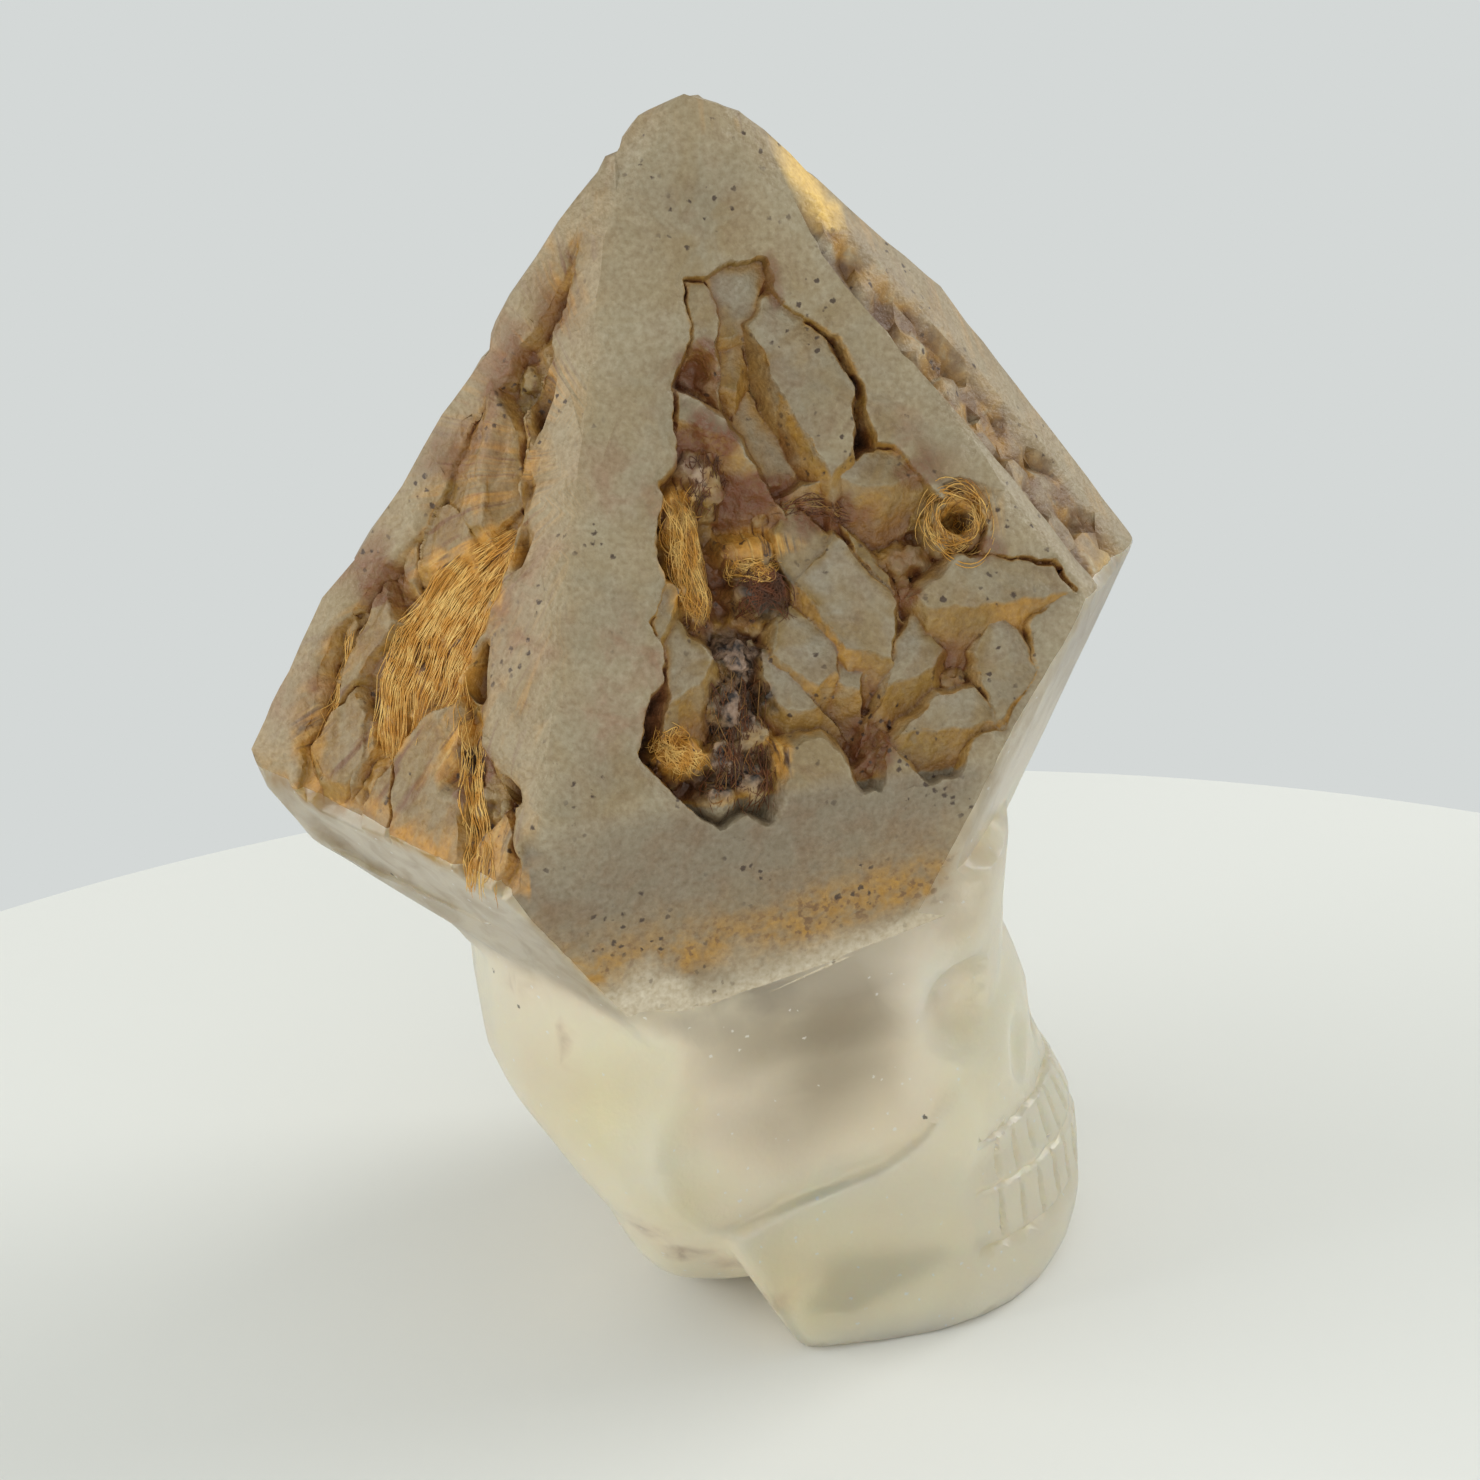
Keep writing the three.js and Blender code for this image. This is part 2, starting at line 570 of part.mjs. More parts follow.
function mouthGrooves() {
  const [low, middle, high] = MOUTH.lines;
  const grooves = MOUTH.lines.map(gumLine);
  for (let k = 1; k < MOUTH.teeth; k++) {
    const angle = MOUTH.reach * ((2 * k) / MOUTH.teeth - 1);
    grooves.push(toothGap(angle, (middle + high) / 2));
    grooves.push(toothGap(angle, (low + middle) / 2));
  }
  return grooves;
}

// Cuts a solid off at both temple walls, moved out by a step; lean widens them towards the base.
function betweenTemples(solid, step, lean) {
  let trimmed = solid;
  for (const mirror of [1, -1]) {
    const axis = toCarving(0, 0, CHEEK.level);
    const { reach, forward } = TEMPLE_WALL;
    const out = toCarving(Math.sin(forward), Math.cos(forward) * mirror, CHEEK.level).sub(axis);
    const through = axis.addScaledVector(out, reach + step);
    out.z = Math.tan(lean);
    out.normalize();
    trimmed = trimmed.trimByPlane(out.clone().negate().toArray(), -out.dot(through));
  }
  return trimmed;
}

function skull() {
  const cranium = betweenTemples(blankOf(CRANIUM), 0, 0);
  const jaw = betweenTemples(blankOf(JAW), CHEEK.step, CHEEK.lean);
  let carving = cranium;
  for (const mirror of [1, -1]) carving = carving.subtract(cutter(TEMPLE_DISH, mirror));
  carving = carving.add(jaw);
  for (const mirror of [1, -1]) {
    for (const hollow of [ORBIT, NOSTRIL, CHEEK_HOLLOW, BROW_SCOOP]) {
      carving = carving.subtract(cutter(hollow, mirror));
    }
  }
  for (const groove of mouthGrooves()) carving = carving.subtract(groove);
  return carving;
}

// The outer skin alone: closed pockets left between crystals are filled in.
function outerSkin(solid) {
  return solid.decompose().reduce((a, b) => (b.volume() > a.volume() ? b : a));
}

function candleQuartzSkull() {
  const whole = outerSkin(crystalTip().add(skull()));
  const geometry = geometryOf(whole);
  geometry.computeBoundingBox();
  const { min, max } = geometry.boundingBox;
  geometry.translate(-(min.x + max.x) / 2, -(min.y + max.y) / 2, -min.z);
  const quartz = new THREE.MeshStandardMaterial({ color: 0xc9bfa8, roughness: 0.45, metalness: 0 });
  const mesh = new THREE.Mesh(geometry, quartz);
  mesh.name = "candle_quartz_skull";
  const group = new THREE.Group();
  group.add(mesh);
  return group;
}

export default candleQuartzSkull();
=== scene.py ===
import math
from itertools import chain

import bmesh
import bpy
import numpy as np
from mathutils import Matrix, Vector, noise
from mathutils.bvhtree import BVHTree


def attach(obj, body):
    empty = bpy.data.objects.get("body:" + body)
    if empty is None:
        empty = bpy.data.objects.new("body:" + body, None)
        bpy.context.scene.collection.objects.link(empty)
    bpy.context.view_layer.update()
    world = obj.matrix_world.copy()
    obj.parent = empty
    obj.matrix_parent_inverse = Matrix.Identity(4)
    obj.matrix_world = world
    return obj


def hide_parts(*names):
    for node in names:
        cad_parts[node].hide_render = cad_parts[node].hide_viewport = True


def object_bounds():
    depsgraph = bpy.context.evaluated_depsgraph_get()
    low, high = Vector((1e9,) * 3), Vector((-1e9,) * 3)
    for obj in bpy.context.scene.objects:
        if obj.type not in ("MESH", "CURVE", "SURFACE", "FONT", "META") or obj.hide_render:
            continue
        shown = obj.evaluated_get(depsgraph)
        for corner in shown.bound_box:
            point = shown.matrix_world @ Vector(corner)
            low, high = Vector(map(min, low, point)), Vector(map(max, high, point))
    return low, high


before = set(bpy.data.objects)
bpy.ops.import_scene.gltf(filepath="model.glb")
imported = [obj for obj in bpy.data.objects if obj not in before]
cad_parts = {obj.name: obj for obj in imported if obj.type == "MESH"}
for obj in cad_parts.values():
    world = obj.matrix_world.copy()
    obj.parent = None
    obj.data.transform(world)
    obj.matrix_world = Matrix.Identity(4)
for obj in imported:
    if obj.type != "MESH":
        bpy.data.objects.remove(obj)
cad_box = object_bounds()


def tone(red, green, blue):
    """A colour from 0 to 255 as it looks on a screen, made linear."""
    linear = [((c / 255 + 0.055) / 1.055) ** 2.4 if c > 10 else c / 255 / 12.92 for c in (red, green, blue)]
    return (*linear, 1.0)


# The stone is made in millimetres, and turned into metres where it goes into a mesh. The studio is in metres.
MM = 0.001
NODE = "candle_quartz_skull"
# The tables in the carver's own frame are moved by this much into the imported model's frame.
SHIFT = np.array([4.05, -26.9, 0.0])

CAMERA_PLACE = np.array([4.05, -392.48, 269.78])
CAMERA_AIM = np.array([4.05, 1.10, 51.62])
CAMERA_LENS = 113.84

# The size of the first, even mesh, and how many triangles are left of it when it has been thinned.
VOXEL = 0.36
TRIANGLE_LIMIT = 86000
# How finely the share of small triangles is stepped.
KEEP_STEPS = 4
# The longest edges round the teeth.
GROOVE_EDGE = 0.4
# How far the surface stays inside the solid's box.
BOX_MARGIN = 0.02
# Edges sharper than this look sharp.
SHARP_ANGLE = math.radians(38)
POLISH_ROUNDS = 14
# How deep the plugs in the hollows reach, and how much wider they are than the hollows.
PLUG_DEPTH = 6.5
PLUG_SPREAD = 1.06
# How closely a border is found on the edge that it crosses, and how near a corner it may come.
HALVINGS = 6
SPLIT_MARGIN = 0.08
# Farther than anything on the stone.
FAR = 1e9

# Corners of the crystal's tip, as in the solid model.
CORNER = {
    "front_left": (-17.8, -6.2, 61.4),
    "front_left_low": (-17.5, -6.1, 50.2),
    "front_left_top": (-12.2, 25.3, 105.2),
    "left": (-45.8, 16.2, 56.9),
    "left_low": (-44.6, 15.8, 53.6),
    "left_top": (-16.4, 29.4, 105.4),
    "left_under": (-40.5, 16.0, 47.5),
    "front_right": (32.2, 16.7, 72.6),
    "front_right_low": (23.7, 6.5, 61.8),
    "right": (37.7, 33.4, 70.6),
    "right_top": (19.3, 39.2, 93.6),
    "tip_right": (0.5, 34.6, 113.2),
    "tip_back": (-3.0, 39.5, 111.5),
    "back_right": (15.0, 60.0, 65.0),
    "back_right_low": (15.5, 58.5, 55.0),
    "back_left": (-32.0, 55.0, 61.0),
    "back_left_low": (-31.0, 53.5, 51.0),
    "temple_left": (-7.8, -3.1, 36.5),
    "temple_right": (18.9, 5.1, 47.5),
    "far_temple_right": (19.0, 42.0, 47.0),
    "far_temple_left": (-10.0, 47.0, 39.0),
    "nape": (-24.5, 12.0, 40.5),
    "far_nape": (-24.5, 33.0, 40.5),
}

# The six sloping faces: an origin and two more corners, anticlockwise from outside.
SLOPES = {
    "front": ("front_left", "front_right", "front_left_top"),
    "left": ("front_left", "front_left_top", "left"),
    "right": ("front_right", "right", "tip_right"),
    "back_right": ("right", "back_right", "right_top"),
    "back": ("back_right", "back_left", "tip_back"),
    "back_left": ("back_left", "left", "left_top"),
}

# The upright front face, and the carver's cuts under the tip.
PRISM = ("front_left_low", "temple_right", "front_left")
CUTS = [
    ("left_low", "temple_left", "front_left_low"),
    ("front_right", "front_right_low", "right"),
    ("right", "far_temple_right", "back_right_low"),
    ("back_right_low", "far_temple_left", "back_left_low"),
    ("back_left_low", "far_nape", "left_under"),
]
INSIDE = np.array([0.0, 27.0, 70.0])
# The height above which the rough tip begins, and how deep under a face a place still belongs to it.
TIP_FOOT = 44.0
HOLLOW_LIMIT = 9.0

# The orange band on the upright face: its lower and upper edges, as X and Z.
BAND_LOW = [
    (-20.0, 45.0), (-15.0, 44.0), (-9.0, 43.1), (-4.5, 45.8), (-2.7, 45.0), (1.1, 43.0), (4.9, 44.0),
    (8.6, 44.2), (12.4, 45.3), (16.2, 46.3), (19.3, 46.7), (22.0, 48.4), (30.0, 52.0),
]
BAND_HIGH = [
    (-20.0, 53.0), (-15.5, 51.0), (-11.9, 48.9), (-4.5, 48.4), (1.1, 49.1), (6.7, 49.9), (12.4, 51.9),
    (16.2, 52.5), (20.0, 52.3), (30.0, 53.0),
]

# Where the rough stained stone ends on that face, as X and Z.
STAIN_FOOT = [(-20.0, 42.0), (-9.0, 40.6), (1.0, 40.4), (12.0, 42.2), (22.0, 45.6), (30.0, 49.0)]

# Clouds inside the polished stone: X and Z of the middle, half width, half height, strength.
CLOUDS = {
    "smoke": [(11.0, 36.0, 11.0, 8.0, 1.0), (12.5, 30.0, 9.0, 8.0, 0.8), (8.0, 26.0, 9.0, 5.0, 0.4)],
    "violet": [(-4.0, 42.5, 7.5, 3.4, 0.9), (6.0, 40.5, 12.0, 3.6, 1.0), (16.0, 42.5, 6.0, 3.4, 0.6)],
    "pearl": [(21.5, 40.0, 3.4, 9.0, 1.0), (21.0, 28.0, 2.6, 5.0, 0.6), (24.0, 47.0, 3.0, 4.0, 0.8),
              (-5.0, 24.0, 4.0, 9.0, 0.6)],
    "warm": [(-8.0, 28.0, 8.0, 9.0, 0.8), (-2.0, 18.0, 6.0, 6.0, 0.6), (12.0, 8.0, 16.0, 8.0, 0.7)],
    "skin": [(-4.8, 13.4, 2.2, 2.0, 0.7), (-1.4, 10.3, 2.6, 1.5, 1.0), (2.8, 8.6, 2.6, 1.4, 0.9),
             (7.5, 6.5, 2.0, 2.0, 0.5), (-12.5, 34.0, 0.5, 2.4, 0.9),
             (-17.3, 38.1, 1.2, 0.8, 0.8)],
}

# The engraved teeth, in the skull's own frame.
SKULL_MIDDLE = 23.0
SKULL_TURN = math.radians(5)
MOUTH_CENTRE = 14.0
MOUTH_LINES = (6.6, 12.6, 18.2)
MOUTH_LINE_DEPTHS = (0.5, 0.3, 0.6)
MOUTH_REACH = math.radians(70)
# No groove comes nearer to the mouth's centre than this.
MOUTH_INNER = 8.0
MOUTH_SMILE = 1.5
TEETH = 15
GROOVE_HALF_WIDTH = 0.46
TOOTH_GAP_DEPTH = 0.6
# How far above and below the lines the finer triangles reach.
GROOVE_MARGIN = 0.9

# Golden fibres on the left face fan out from a point above them. Their widths are right this far from it.
FIBRE_FAN = (-7.0, 33.0)
FAN_RADIUS = 20.0

# Where the cheek stands a step proud of the temple: X and Z along the ledge.
LEDGE = [(-0.6, 14.9), (4.9, 15.1), (10.0, 16.9), (15.1, 17.3), (18.2, 19.0), (20.2, 20.4), (22.5, 22.3)]

# Hollows whose crystals are carved here more finely than in the solid model: depth, the steepness of their
# sides, and their outline along and up the face.
HOLLOWS = {
    "front": {
        "depth": 5.0, "side": 4.0,
        "outline": [
            (23, 47.5), (26, 48.5), (29.5, 48.5), (29.5, 45.5), (31, 43.5), (35, 40.5), (36.5, 36),
            (36.5, 33), (37, 30.5), (38.5, 30), (40.5, 27), (42, 24.5), (45.5, 24), (46, 21.5),
            (45.5, 19), (52, 17.5),
            (53.5, 14.5), (50.5, 13.5), (48.5, 12), (48.5, 7.5), (44.5, 3), (41.5, 2.5), (39.5, -1),
            (33, -1.5),
            (30, -1), (23, -1), (22.5, -2.5), (21.5, -3), (19.5, -1.5), (17, -2.5), (15, -1.5), (11.5, 3),
            (10, 5.5), (12, 10.5), (13.5, 11.5), (14, 15), (13, 17), (14.5, 19), (15, 21), (14.5, 24),
            (16, 27.5), (16, 29.5), (18, 31), (18.5, 37.5), (20, 40.5), (21, 42), (21, 47.5),
        ],
    },
    "left": {
        "depth": 2.0, "side": 1.8,
        "outline": [
            (-20.5, 50.5), (-19.5, 46.5), (-19, 44.5), (-19.5, 42), (-18.5, 39), (-18.5, 36), (-19, 33.5),
            (-17.5, 30.5), (-16.5, 27), (-15, 25), (-14.5, 20.5), (-14.5, 16), (-15, 9), (-12, 8), (-10, 5),
            (-6.5, 2.5), (-3.5, 1.5), (-3, -0.5), (-1, -3.5), (0, -6.5), (2.5, -11), (-18, -11), (-28, -9),
            (-29.5, -4.5), (-30.5, -3), (-30.5, 1), (-31.5, 4), (-31.5, 8), (-29.5, 12.5), (-28.5, 15.5),
            (-26.5, 18.5), (-25.5, 20.5), (-25, 24.5), (-25, 28), (-24.5, 31.5), (-22.5, 36), (-23, 38.5),
            (-21.5, 41.5), (-20.5, 45), (-20.5, 48),
        ],
    },
}

# The broad facet of each crystal in those hollows: height against the face, how much it rises along and up
# the face, and its corners, anticlockwise.
FACETS = {
    "front": [
        (-0.6, 0, 0, [
            (27, 42.5), (28.5, 36.5), (32, 28), (34.5, 30.5), (35.5, 35.5), (33.5, 40.5), (29.5, 45.5),
        ]),
        (-1.0, 0, 0, [(32.5, 28), (36, 26.5), (40.5, 27), (38.5, 29.5), (37, 30)]),
        (-2.0, 0, 0, [(26, 22), (27, 19), (30, 18.5), (32, 22), (28, 27)]),
        (-1.1, 0, 0, [(27.5, 19), (31, 12.5), (35, 11), (36.5, 16), (32, 22.5)]),
        (-1.9, 0, 0, [(33, 23.5), (33.5, 21.5), (36.5, 16.5), (36.5, 18)]),
        (-1.9, 0, 0, [(24.5, 13), (26, 11), (28, 9.5), (30, 10.5), (30.5, 12.5), (27, 17), (25.5, 16)]),
        (-2.0, 0, 0, [(30, 9.5), (32, 8.5), (32.5, 10), (30.5, 11.5)]),
        (-1.4, 0, 0, [(34.5, 8.5), (39, 9.5), (40, 11), (38, 14.5), (36, 12.5)]),
        (-1.8, 0, 0, [(33, 10), (35, 10), (35, 11.5), (33, 11.5)]),
        (-0.4, 0, 0, [(38.5, 16), (39, 15), (43.5, 14.5), (53, 14.5), (51.5, 17), (46.5, 18.5), (43, 19)]),
        (-0.8, 0, 0, [(43, 10), (44, 3.5), (48.5, 7.5), (48, 10), (46, 14)]),
        (-0.9, 0, 0, [(35, 4), (44.5, 3.5), (42.5, 7), (39, 7)]),
        (-0.8, 0, 0, [(32.5, -0.5), (36, -0.5), (33.5, 3.5)]),
        (-0.3, 0, 0, [(23, -1.5), (30, -1.5), (28.5, 3), (27.5, 4.5), (24, 4)]),
        (-1.4, 0, 0, [(14, 10), (17, 11), (18.5, 13), (16, 17), (14.5, 15.5)]),
        (-1.0, 0, 0, [(13.5, 17), (14, 15.5), (16.5, 19.5), (15, 20.5)]),
        (-2.4, 0, 0, [(23.5, 13.5), (23.5, 9.5), (25, 7.5), (28, 7.5), (26, 11), (25, 13)]),
        (-0.5, 0, 0, [(21.5, 42), (23, 40), (24, 45), (23, 47), (21.5, 47)]),
        (-3.0, 0, 0, [(23.5, 38), (25, 37), (26.5, 39.5), (26, 42), (24.5, 42)]),
        (-0.5, 0, 0, [(19, 35), (23.5, 32.5), (23, 34), (20, 37), (19, 37.5)]),
        (-3.6, 0, 0, [(24.5, 32.5), (27, 28), (29.5, 28.5), (29.5, 30), (26.5, 37), (25, 37)]),
        (-1.8, 0, 0.25, [(23.5, 47.5), (24, 42), (27, 42), (29, 46.5), (29.5, 48.5), (26.5, 48.5)]),
    ],
    "left": [
        (-0.6, 0.18, 0, [(-25.5, 25), (-24.5, 23.5), (-20.5, 22.5), (-19, 23), (-23.5, 34.5)]),
        (-0.6, -0.35, 0, [(-23.5, 34.5), (-21.5, 28), (-19, 23), (-18, 23), (-16.5, 26), (-19.5, 32)]),
        (-0.5, 0.05, 0, [
            (-25.5, 20.5), (-25, 17.5), (-22.5, 18), (-19.5, 20), (-20, 21.5), (-22, 23), (-23.5, 23.5),
            (-25, 22.5),
        ]),
        (-0.9, 0, 0, [(-27.5, 18), (-26, 15.5), (-25, 15.5), (-26, 19), (-27, 20)]),
        (-0.3, 0.1, 0, [(-29, 6.5), (-28, 3), (-27, 5), (-25, 11.5), (-28, 14), (-28.5, 11)]),
        (-0.4, -0.12, 0, [
            (-29, -2), (-27, -4.5), (-24, -4), (-23, -1.5), (-24.5, 2.5), (-26.5, 4), (-28, 1.5),
        ]),
        (-1.2, -0.2, 0, [(-28.5, 8), (-27, 6), (-24.5, 6.5), (-24, 7.5), (-26, 11.5), (-27.5, 9.5)]),
        (-0.9, 0, 0, [(-25, 2.5), (-23.5, -4), (-22.5, 0), (-23.5, 2)]),
        (-0.3, 0, -0.04, [
            (-19, -1), (-16.5, -6), (-15, -9.5), (-9.5, -9), (-7.5, -5), (-8, -2.5), (-13, 4.5), (-14.5, 7.5),
            (-17, 5), (-19, 2),
        ]),
        (-1.0, 0.1, 0, [
            (-21.5, -5), (-21, -6), (-19, -9.5), (-17, -8.5), (-17.5, -5.5), (-20, -0.5), (-20.5, -2),
        ]),
        (-0.9, 0, 0, [(-7, -5.5), (-5.5, -9), (-3.5, -9), (-3, -4), (-3.5, -1.5), (-5, 0), (-6.5, -3)]),
        (-1.0, 0, 0, [(-31, -3), (-27, -8), (-27, -5.5), (-30.5, -2.5)]),
    ],
}

# Rounded lumps on their floors (middle, half width, half height, height against the face), and deeper holes
# (the same, with how much deeper they are).
LUMPS = {
    "front": [
        (20.4, 29.5, 2.1, 3.6, -0.8), (24.3, 18.4, 2.7, 2.9, -0.8), (23.6, 22.0, 2.7, 1.8, -1.3),
        (38.1, 19.6, 2.7, 1.6, -1.5), (17.6, 24.0, 1.8, 5.6, -1.3), (17.9, 19.0, 1.6, 3.0, -1.2),
        (14.6, 4.6, 2.6, 1.8, -1.5), (20.8, 12.6, 1.8, 2.2, -1.7), (19.6, 8.4, 2.0, 2.4, -1.8),
        (21.6, 5.8, 1.6, 2.0, -2.0), (18.6, 4.0, 1.8, 2.0, -1.6), (20.8, 1.4, 1.8, 2.0, -1.4),
        (17.2, 0.4, 1.8, 1.6, -1.2), (33.4, 5.0, 1.6, 2.4, -2.4), (32.2, 1.8, 1.4, 2.0, -2.0),
        (37.6, 16.6, 1.0, 1.4, -1.9), (38.4, 14.6, 1.1, 0.9, -2.2), (41.0, 8.0, 1.4, 1.3, -1.8),
        (22.0, 37.4, 1.6, 2.4, -2.4), (26.0, 25.4, 1.8, 1.4, -2.8), (30.6, 26.6, 1.6, 1.0, -3.0),
        (46.6, 12.2, 1.0, 1.2, -1.2), (23.4, 32.4, 1.4, 1.6, -2.2),
    ],
    "left": [
        (-23.0, 39.5, 1.3, 2.0, -0.9), (-21.4, 44.0, 1.0, 1.8, -1.0), (-21.6, 36.6, 1.4, 1.8, -1.2),
        (-27.4, 0.0, 1.6, 5.0, -1.0), (-30.0, 9.0, 1.0, 2.6, -0.9), (-22.4, 2.6, 1.4, 2.4, -1.2),
        (-21.0, -3.6, 1.3, 2.4, -1.3), (-8.6, -0.6, 0.9, 1.8, -1.2), (-5.6, -0.2, 1.0, 1.3, -1.2),
    ],
}
HOLES = {
    "front": [(43.2, 22.4, 1.5, 1.5, 2.4), (24.6, 18.9, 0.9, 1.2, 0.8), (21.6, 39.4, 1.2, 1.8, 1.0)],
    "left": [(-12.0, 1.4, 1.3, 2.6, 1.6), (-21.2, 9.6, 1.6, 1.2, 1.2), (-23.0, 8.0, 1.2, 1.0, 0.8)],
}
# The round nest of fibres: middle, radius and height against the face.
NEST_MIDDLE = (43.2, 22.4)
NEST_RADIUS = 1.8
NEST_LEVEL = -0.3

# Labels of the flat pieces: the face round a hollow, its bank, and its floor with the lumps. Crystal k's
# facet has the label k times CRYSTAL_LABELS, and its sides have the next numbers.
AROUND, BANK, FLOOR = 0, 1, 2
CRYSTAL_LABELS = 10
# How far round a hollow its rim is shaped with it.
RIM_SLACK = 2.0
# Waves along every outline.
BROAD_WAVE = 0.13
FINE_WAVE = 0.05

# Bundles of iron-stained fibres: the face, the places that their two edges run through, how many fibres
# there are, their height above the stone, how much they wander, and their shade (0 gold, 1 brown).
BUNDLES = [
    ("left", [(-16.5, 24), (-20, 20.5), (-23, 16.5), (-25, 11), (-25, 6), (-22, 0)],
     [(-14, 22.5), (-13.8, 19), (-14.2, 15), (-14.2, 10), (-13.4, 6), (-11, 0)], 620, 0.45, 0.5, 0.0),
    ("left", [(-13.5, 6.5), (-12.5, 2), (-9.5, -4), (-7.5, -8)],
     [(-11.5, 6), (-9, 1), (-4.5, -4), (-3, -8)], 110, 0.25, 0.5, 0.15),
    ("left", [(-31, 8), (-30, 2), (-28.5, -5)], [(-29.5, 10), (-28.5, 2), (-26.5, -6)], 70, 0.15, 0.4, 0.2),
    ("front", [(16.2, 29), (16.2, 25), (16.6, 21), (17.4, 16.5)],
     [(18.8, 28.5), (19.2, 25), (19.0, 21), (19.0, 16.5)], 200, 0.35, 0.8, 0.3),
    ("front", [(12, 7.5), (12.5, 5), (14, 2.8)], [(14.5, 8), (15.5, 5.5), (17.2, 3.2)], 90, 0.3, 0.7, 0.1),
    ("front", [(21.4, 23.2), (22.4, 21.6), (24.5, 21.0), (26, 21.4)],
     [(21.4, 21), (22.4, 19.8), (24.4, 19.6), (26, 20)], 110, 0.3, 0.6, 0.3),
    ("front", [(22, 17), (22.8, 20.2), (25.6, 20.4), (26.8, 17.4)],
     [(22.6, 15.5), (23.6, 17.4), (25.2, 17.4), (26, 15.6)], 120, 0.25, 1.0, 0.95),
    ("front", [(19, 13.5), (18, 8), (16.8, 3), (16, -0.5)],
     [(23, 13), (22.6, 8), (22.5, 3), (21.6, -1)], 120, 0.1, 1.0, 0.7),
    ("front", [(19.2, 33), (18.8, 29), (19.2, 26)], [(22.6, 32), (22.6, 29), (21.6, 26)], 50, 0.1, 0.6, 0.8),
    ("front", [(26, 26), (30, 26.6), (34, 24.6)], [(26, 24.8), (30, 25.4), (33.6, 23.6)], 40, 0.1, 0.6, 0.7),
]
# Fibres that go round the nest: how many, and from what radius to what.
NEST_FIBRES = (150, 0.9, 2.9)
FIBRE_RADIUS = (0.025, 0.06)
FIBRE_STEPS = 14
# Fibres higher than this against the face are left out.
SHALLOWEST_FIBRE = -0.55

# How the crystals' lower sides fall: they are upright, and the face slopes back.
UPRIGHT_FALL = 0.65
STEEPEST_FALL = 3.0
TIP_FALL = 2.2
# How far a facet's tilt varies from crystal to crystal.
FACET_TILT = 0.07
# How much the front face's crystals rise towards their lower ends, so that each stands over the next.
FRONT_SHINGLE = 0.11
# How far and how wide the rim of a hollow is rounded over.
LIP_DROP = 0.35
LIP_WIDTH = 1.5

# Small candle crystals that cover the rough parts of the tip: width, length and height of the largest.
BUD_WIDTH = 2.3
BUD_LENGTH = 3.6
BUD_HEIGHT = 0.75

# Rays that feel for shelter, and how far they reach in mm.
SHELTER_RAYS = 14
SHELTER_REACH = 7.0

# Two amber patches on the right face: middle, half width and half height.
UPPER_AMBER = (11.5, 44.0, 2.6, 5.0)
LOWER_AMBER = (10.0, -1.0, 4.0, 2.2)

# Places on a sloping face, in millimetres along and up the face: middle, half width, half height, strength.
FRONT_SPOTS = {
    "gold": [
        (17.6, 23.6, 2.0, 5.6, 1.0), (15.0, 5.1, 3.2, 1.9, 1.0), (22.9, 3.6, 1.4, 2.8, 0.9),
        (23.9, 22.8, 3.3, 2.0, 0.9), (44.1, 22.7, 2.6, 2.9, 0.8),
    ],
    "rust": [
        (20.8, 32.2, 3.4, 3.5, 1.0), (21.4, 39.3, 2.2, 2.6, 0.9), (23.3, 27.1, 2.4, 2.6, 1.0),
        (26.3, 27.3, 3.2, 2.0, 1.0), (31.2, 24.7, 4.4, 1.6, 0.9), (32.2, 2.6, 2.3, 3.2, 0.9),
        (37.5, 16.1, 1.3, 1.9, 0.9), (40.7, 9.1, 2.0, 1.9, 0.7), (38.5, 19.5, 2.9, 1.9, 0.6),
        (41.5, 27.3, 2.6, 1.9, 0.7), (45.3, 19.9, 1.7, 1.6, 0.8), (21.0, 20.0, 2.6, 3.4, 0.7),
        (24.4, 45.6, 0.8, 2.4, 0.5), (29.6, 46.4, 0.9, 2.6, 0.6),
    ],
    # The dark spots are painted shade over the holes.
    "dark": [
        (24.4, 18.5, 2.7, 3.2, 1.0), (44.6, 22.2, 0.9, 1.0, 0.9),
    ],
    "crust": [
        (20.9, 12.9, 2.5, 3.2, 1.0), (20.5, 8.1, 2.9, 4.1, 1.0), (19.6, 3.1, 3.4, 3.7, 1.0),
        (17.2, 0.2, 3.2, 1.8, 1.0),
    ],
    "pink": [
        (39.4, 30.8, 1.3, 1.9, 0.8), (11.4, 31.5, 2.4, 2.2, 0.5), (7.2, 9.8, 2.4, 2.8, 0.6),
        (13.0, 10.8, 1.0, 3.4, 0.6), (18.7, 17.0, 1.6, 1.5, 0.9), (22.5, 16.2, 1.0, 0.9, 1.0),
        (5.0, 17.0, 3.0, 2.4, 0.4),
    ],
    "pale": [
        (19.5, 30.1, 1.1, 1.7, 1.0), (19.7, 37.2, 1.4, 1.6, 0.7),
    ],
}
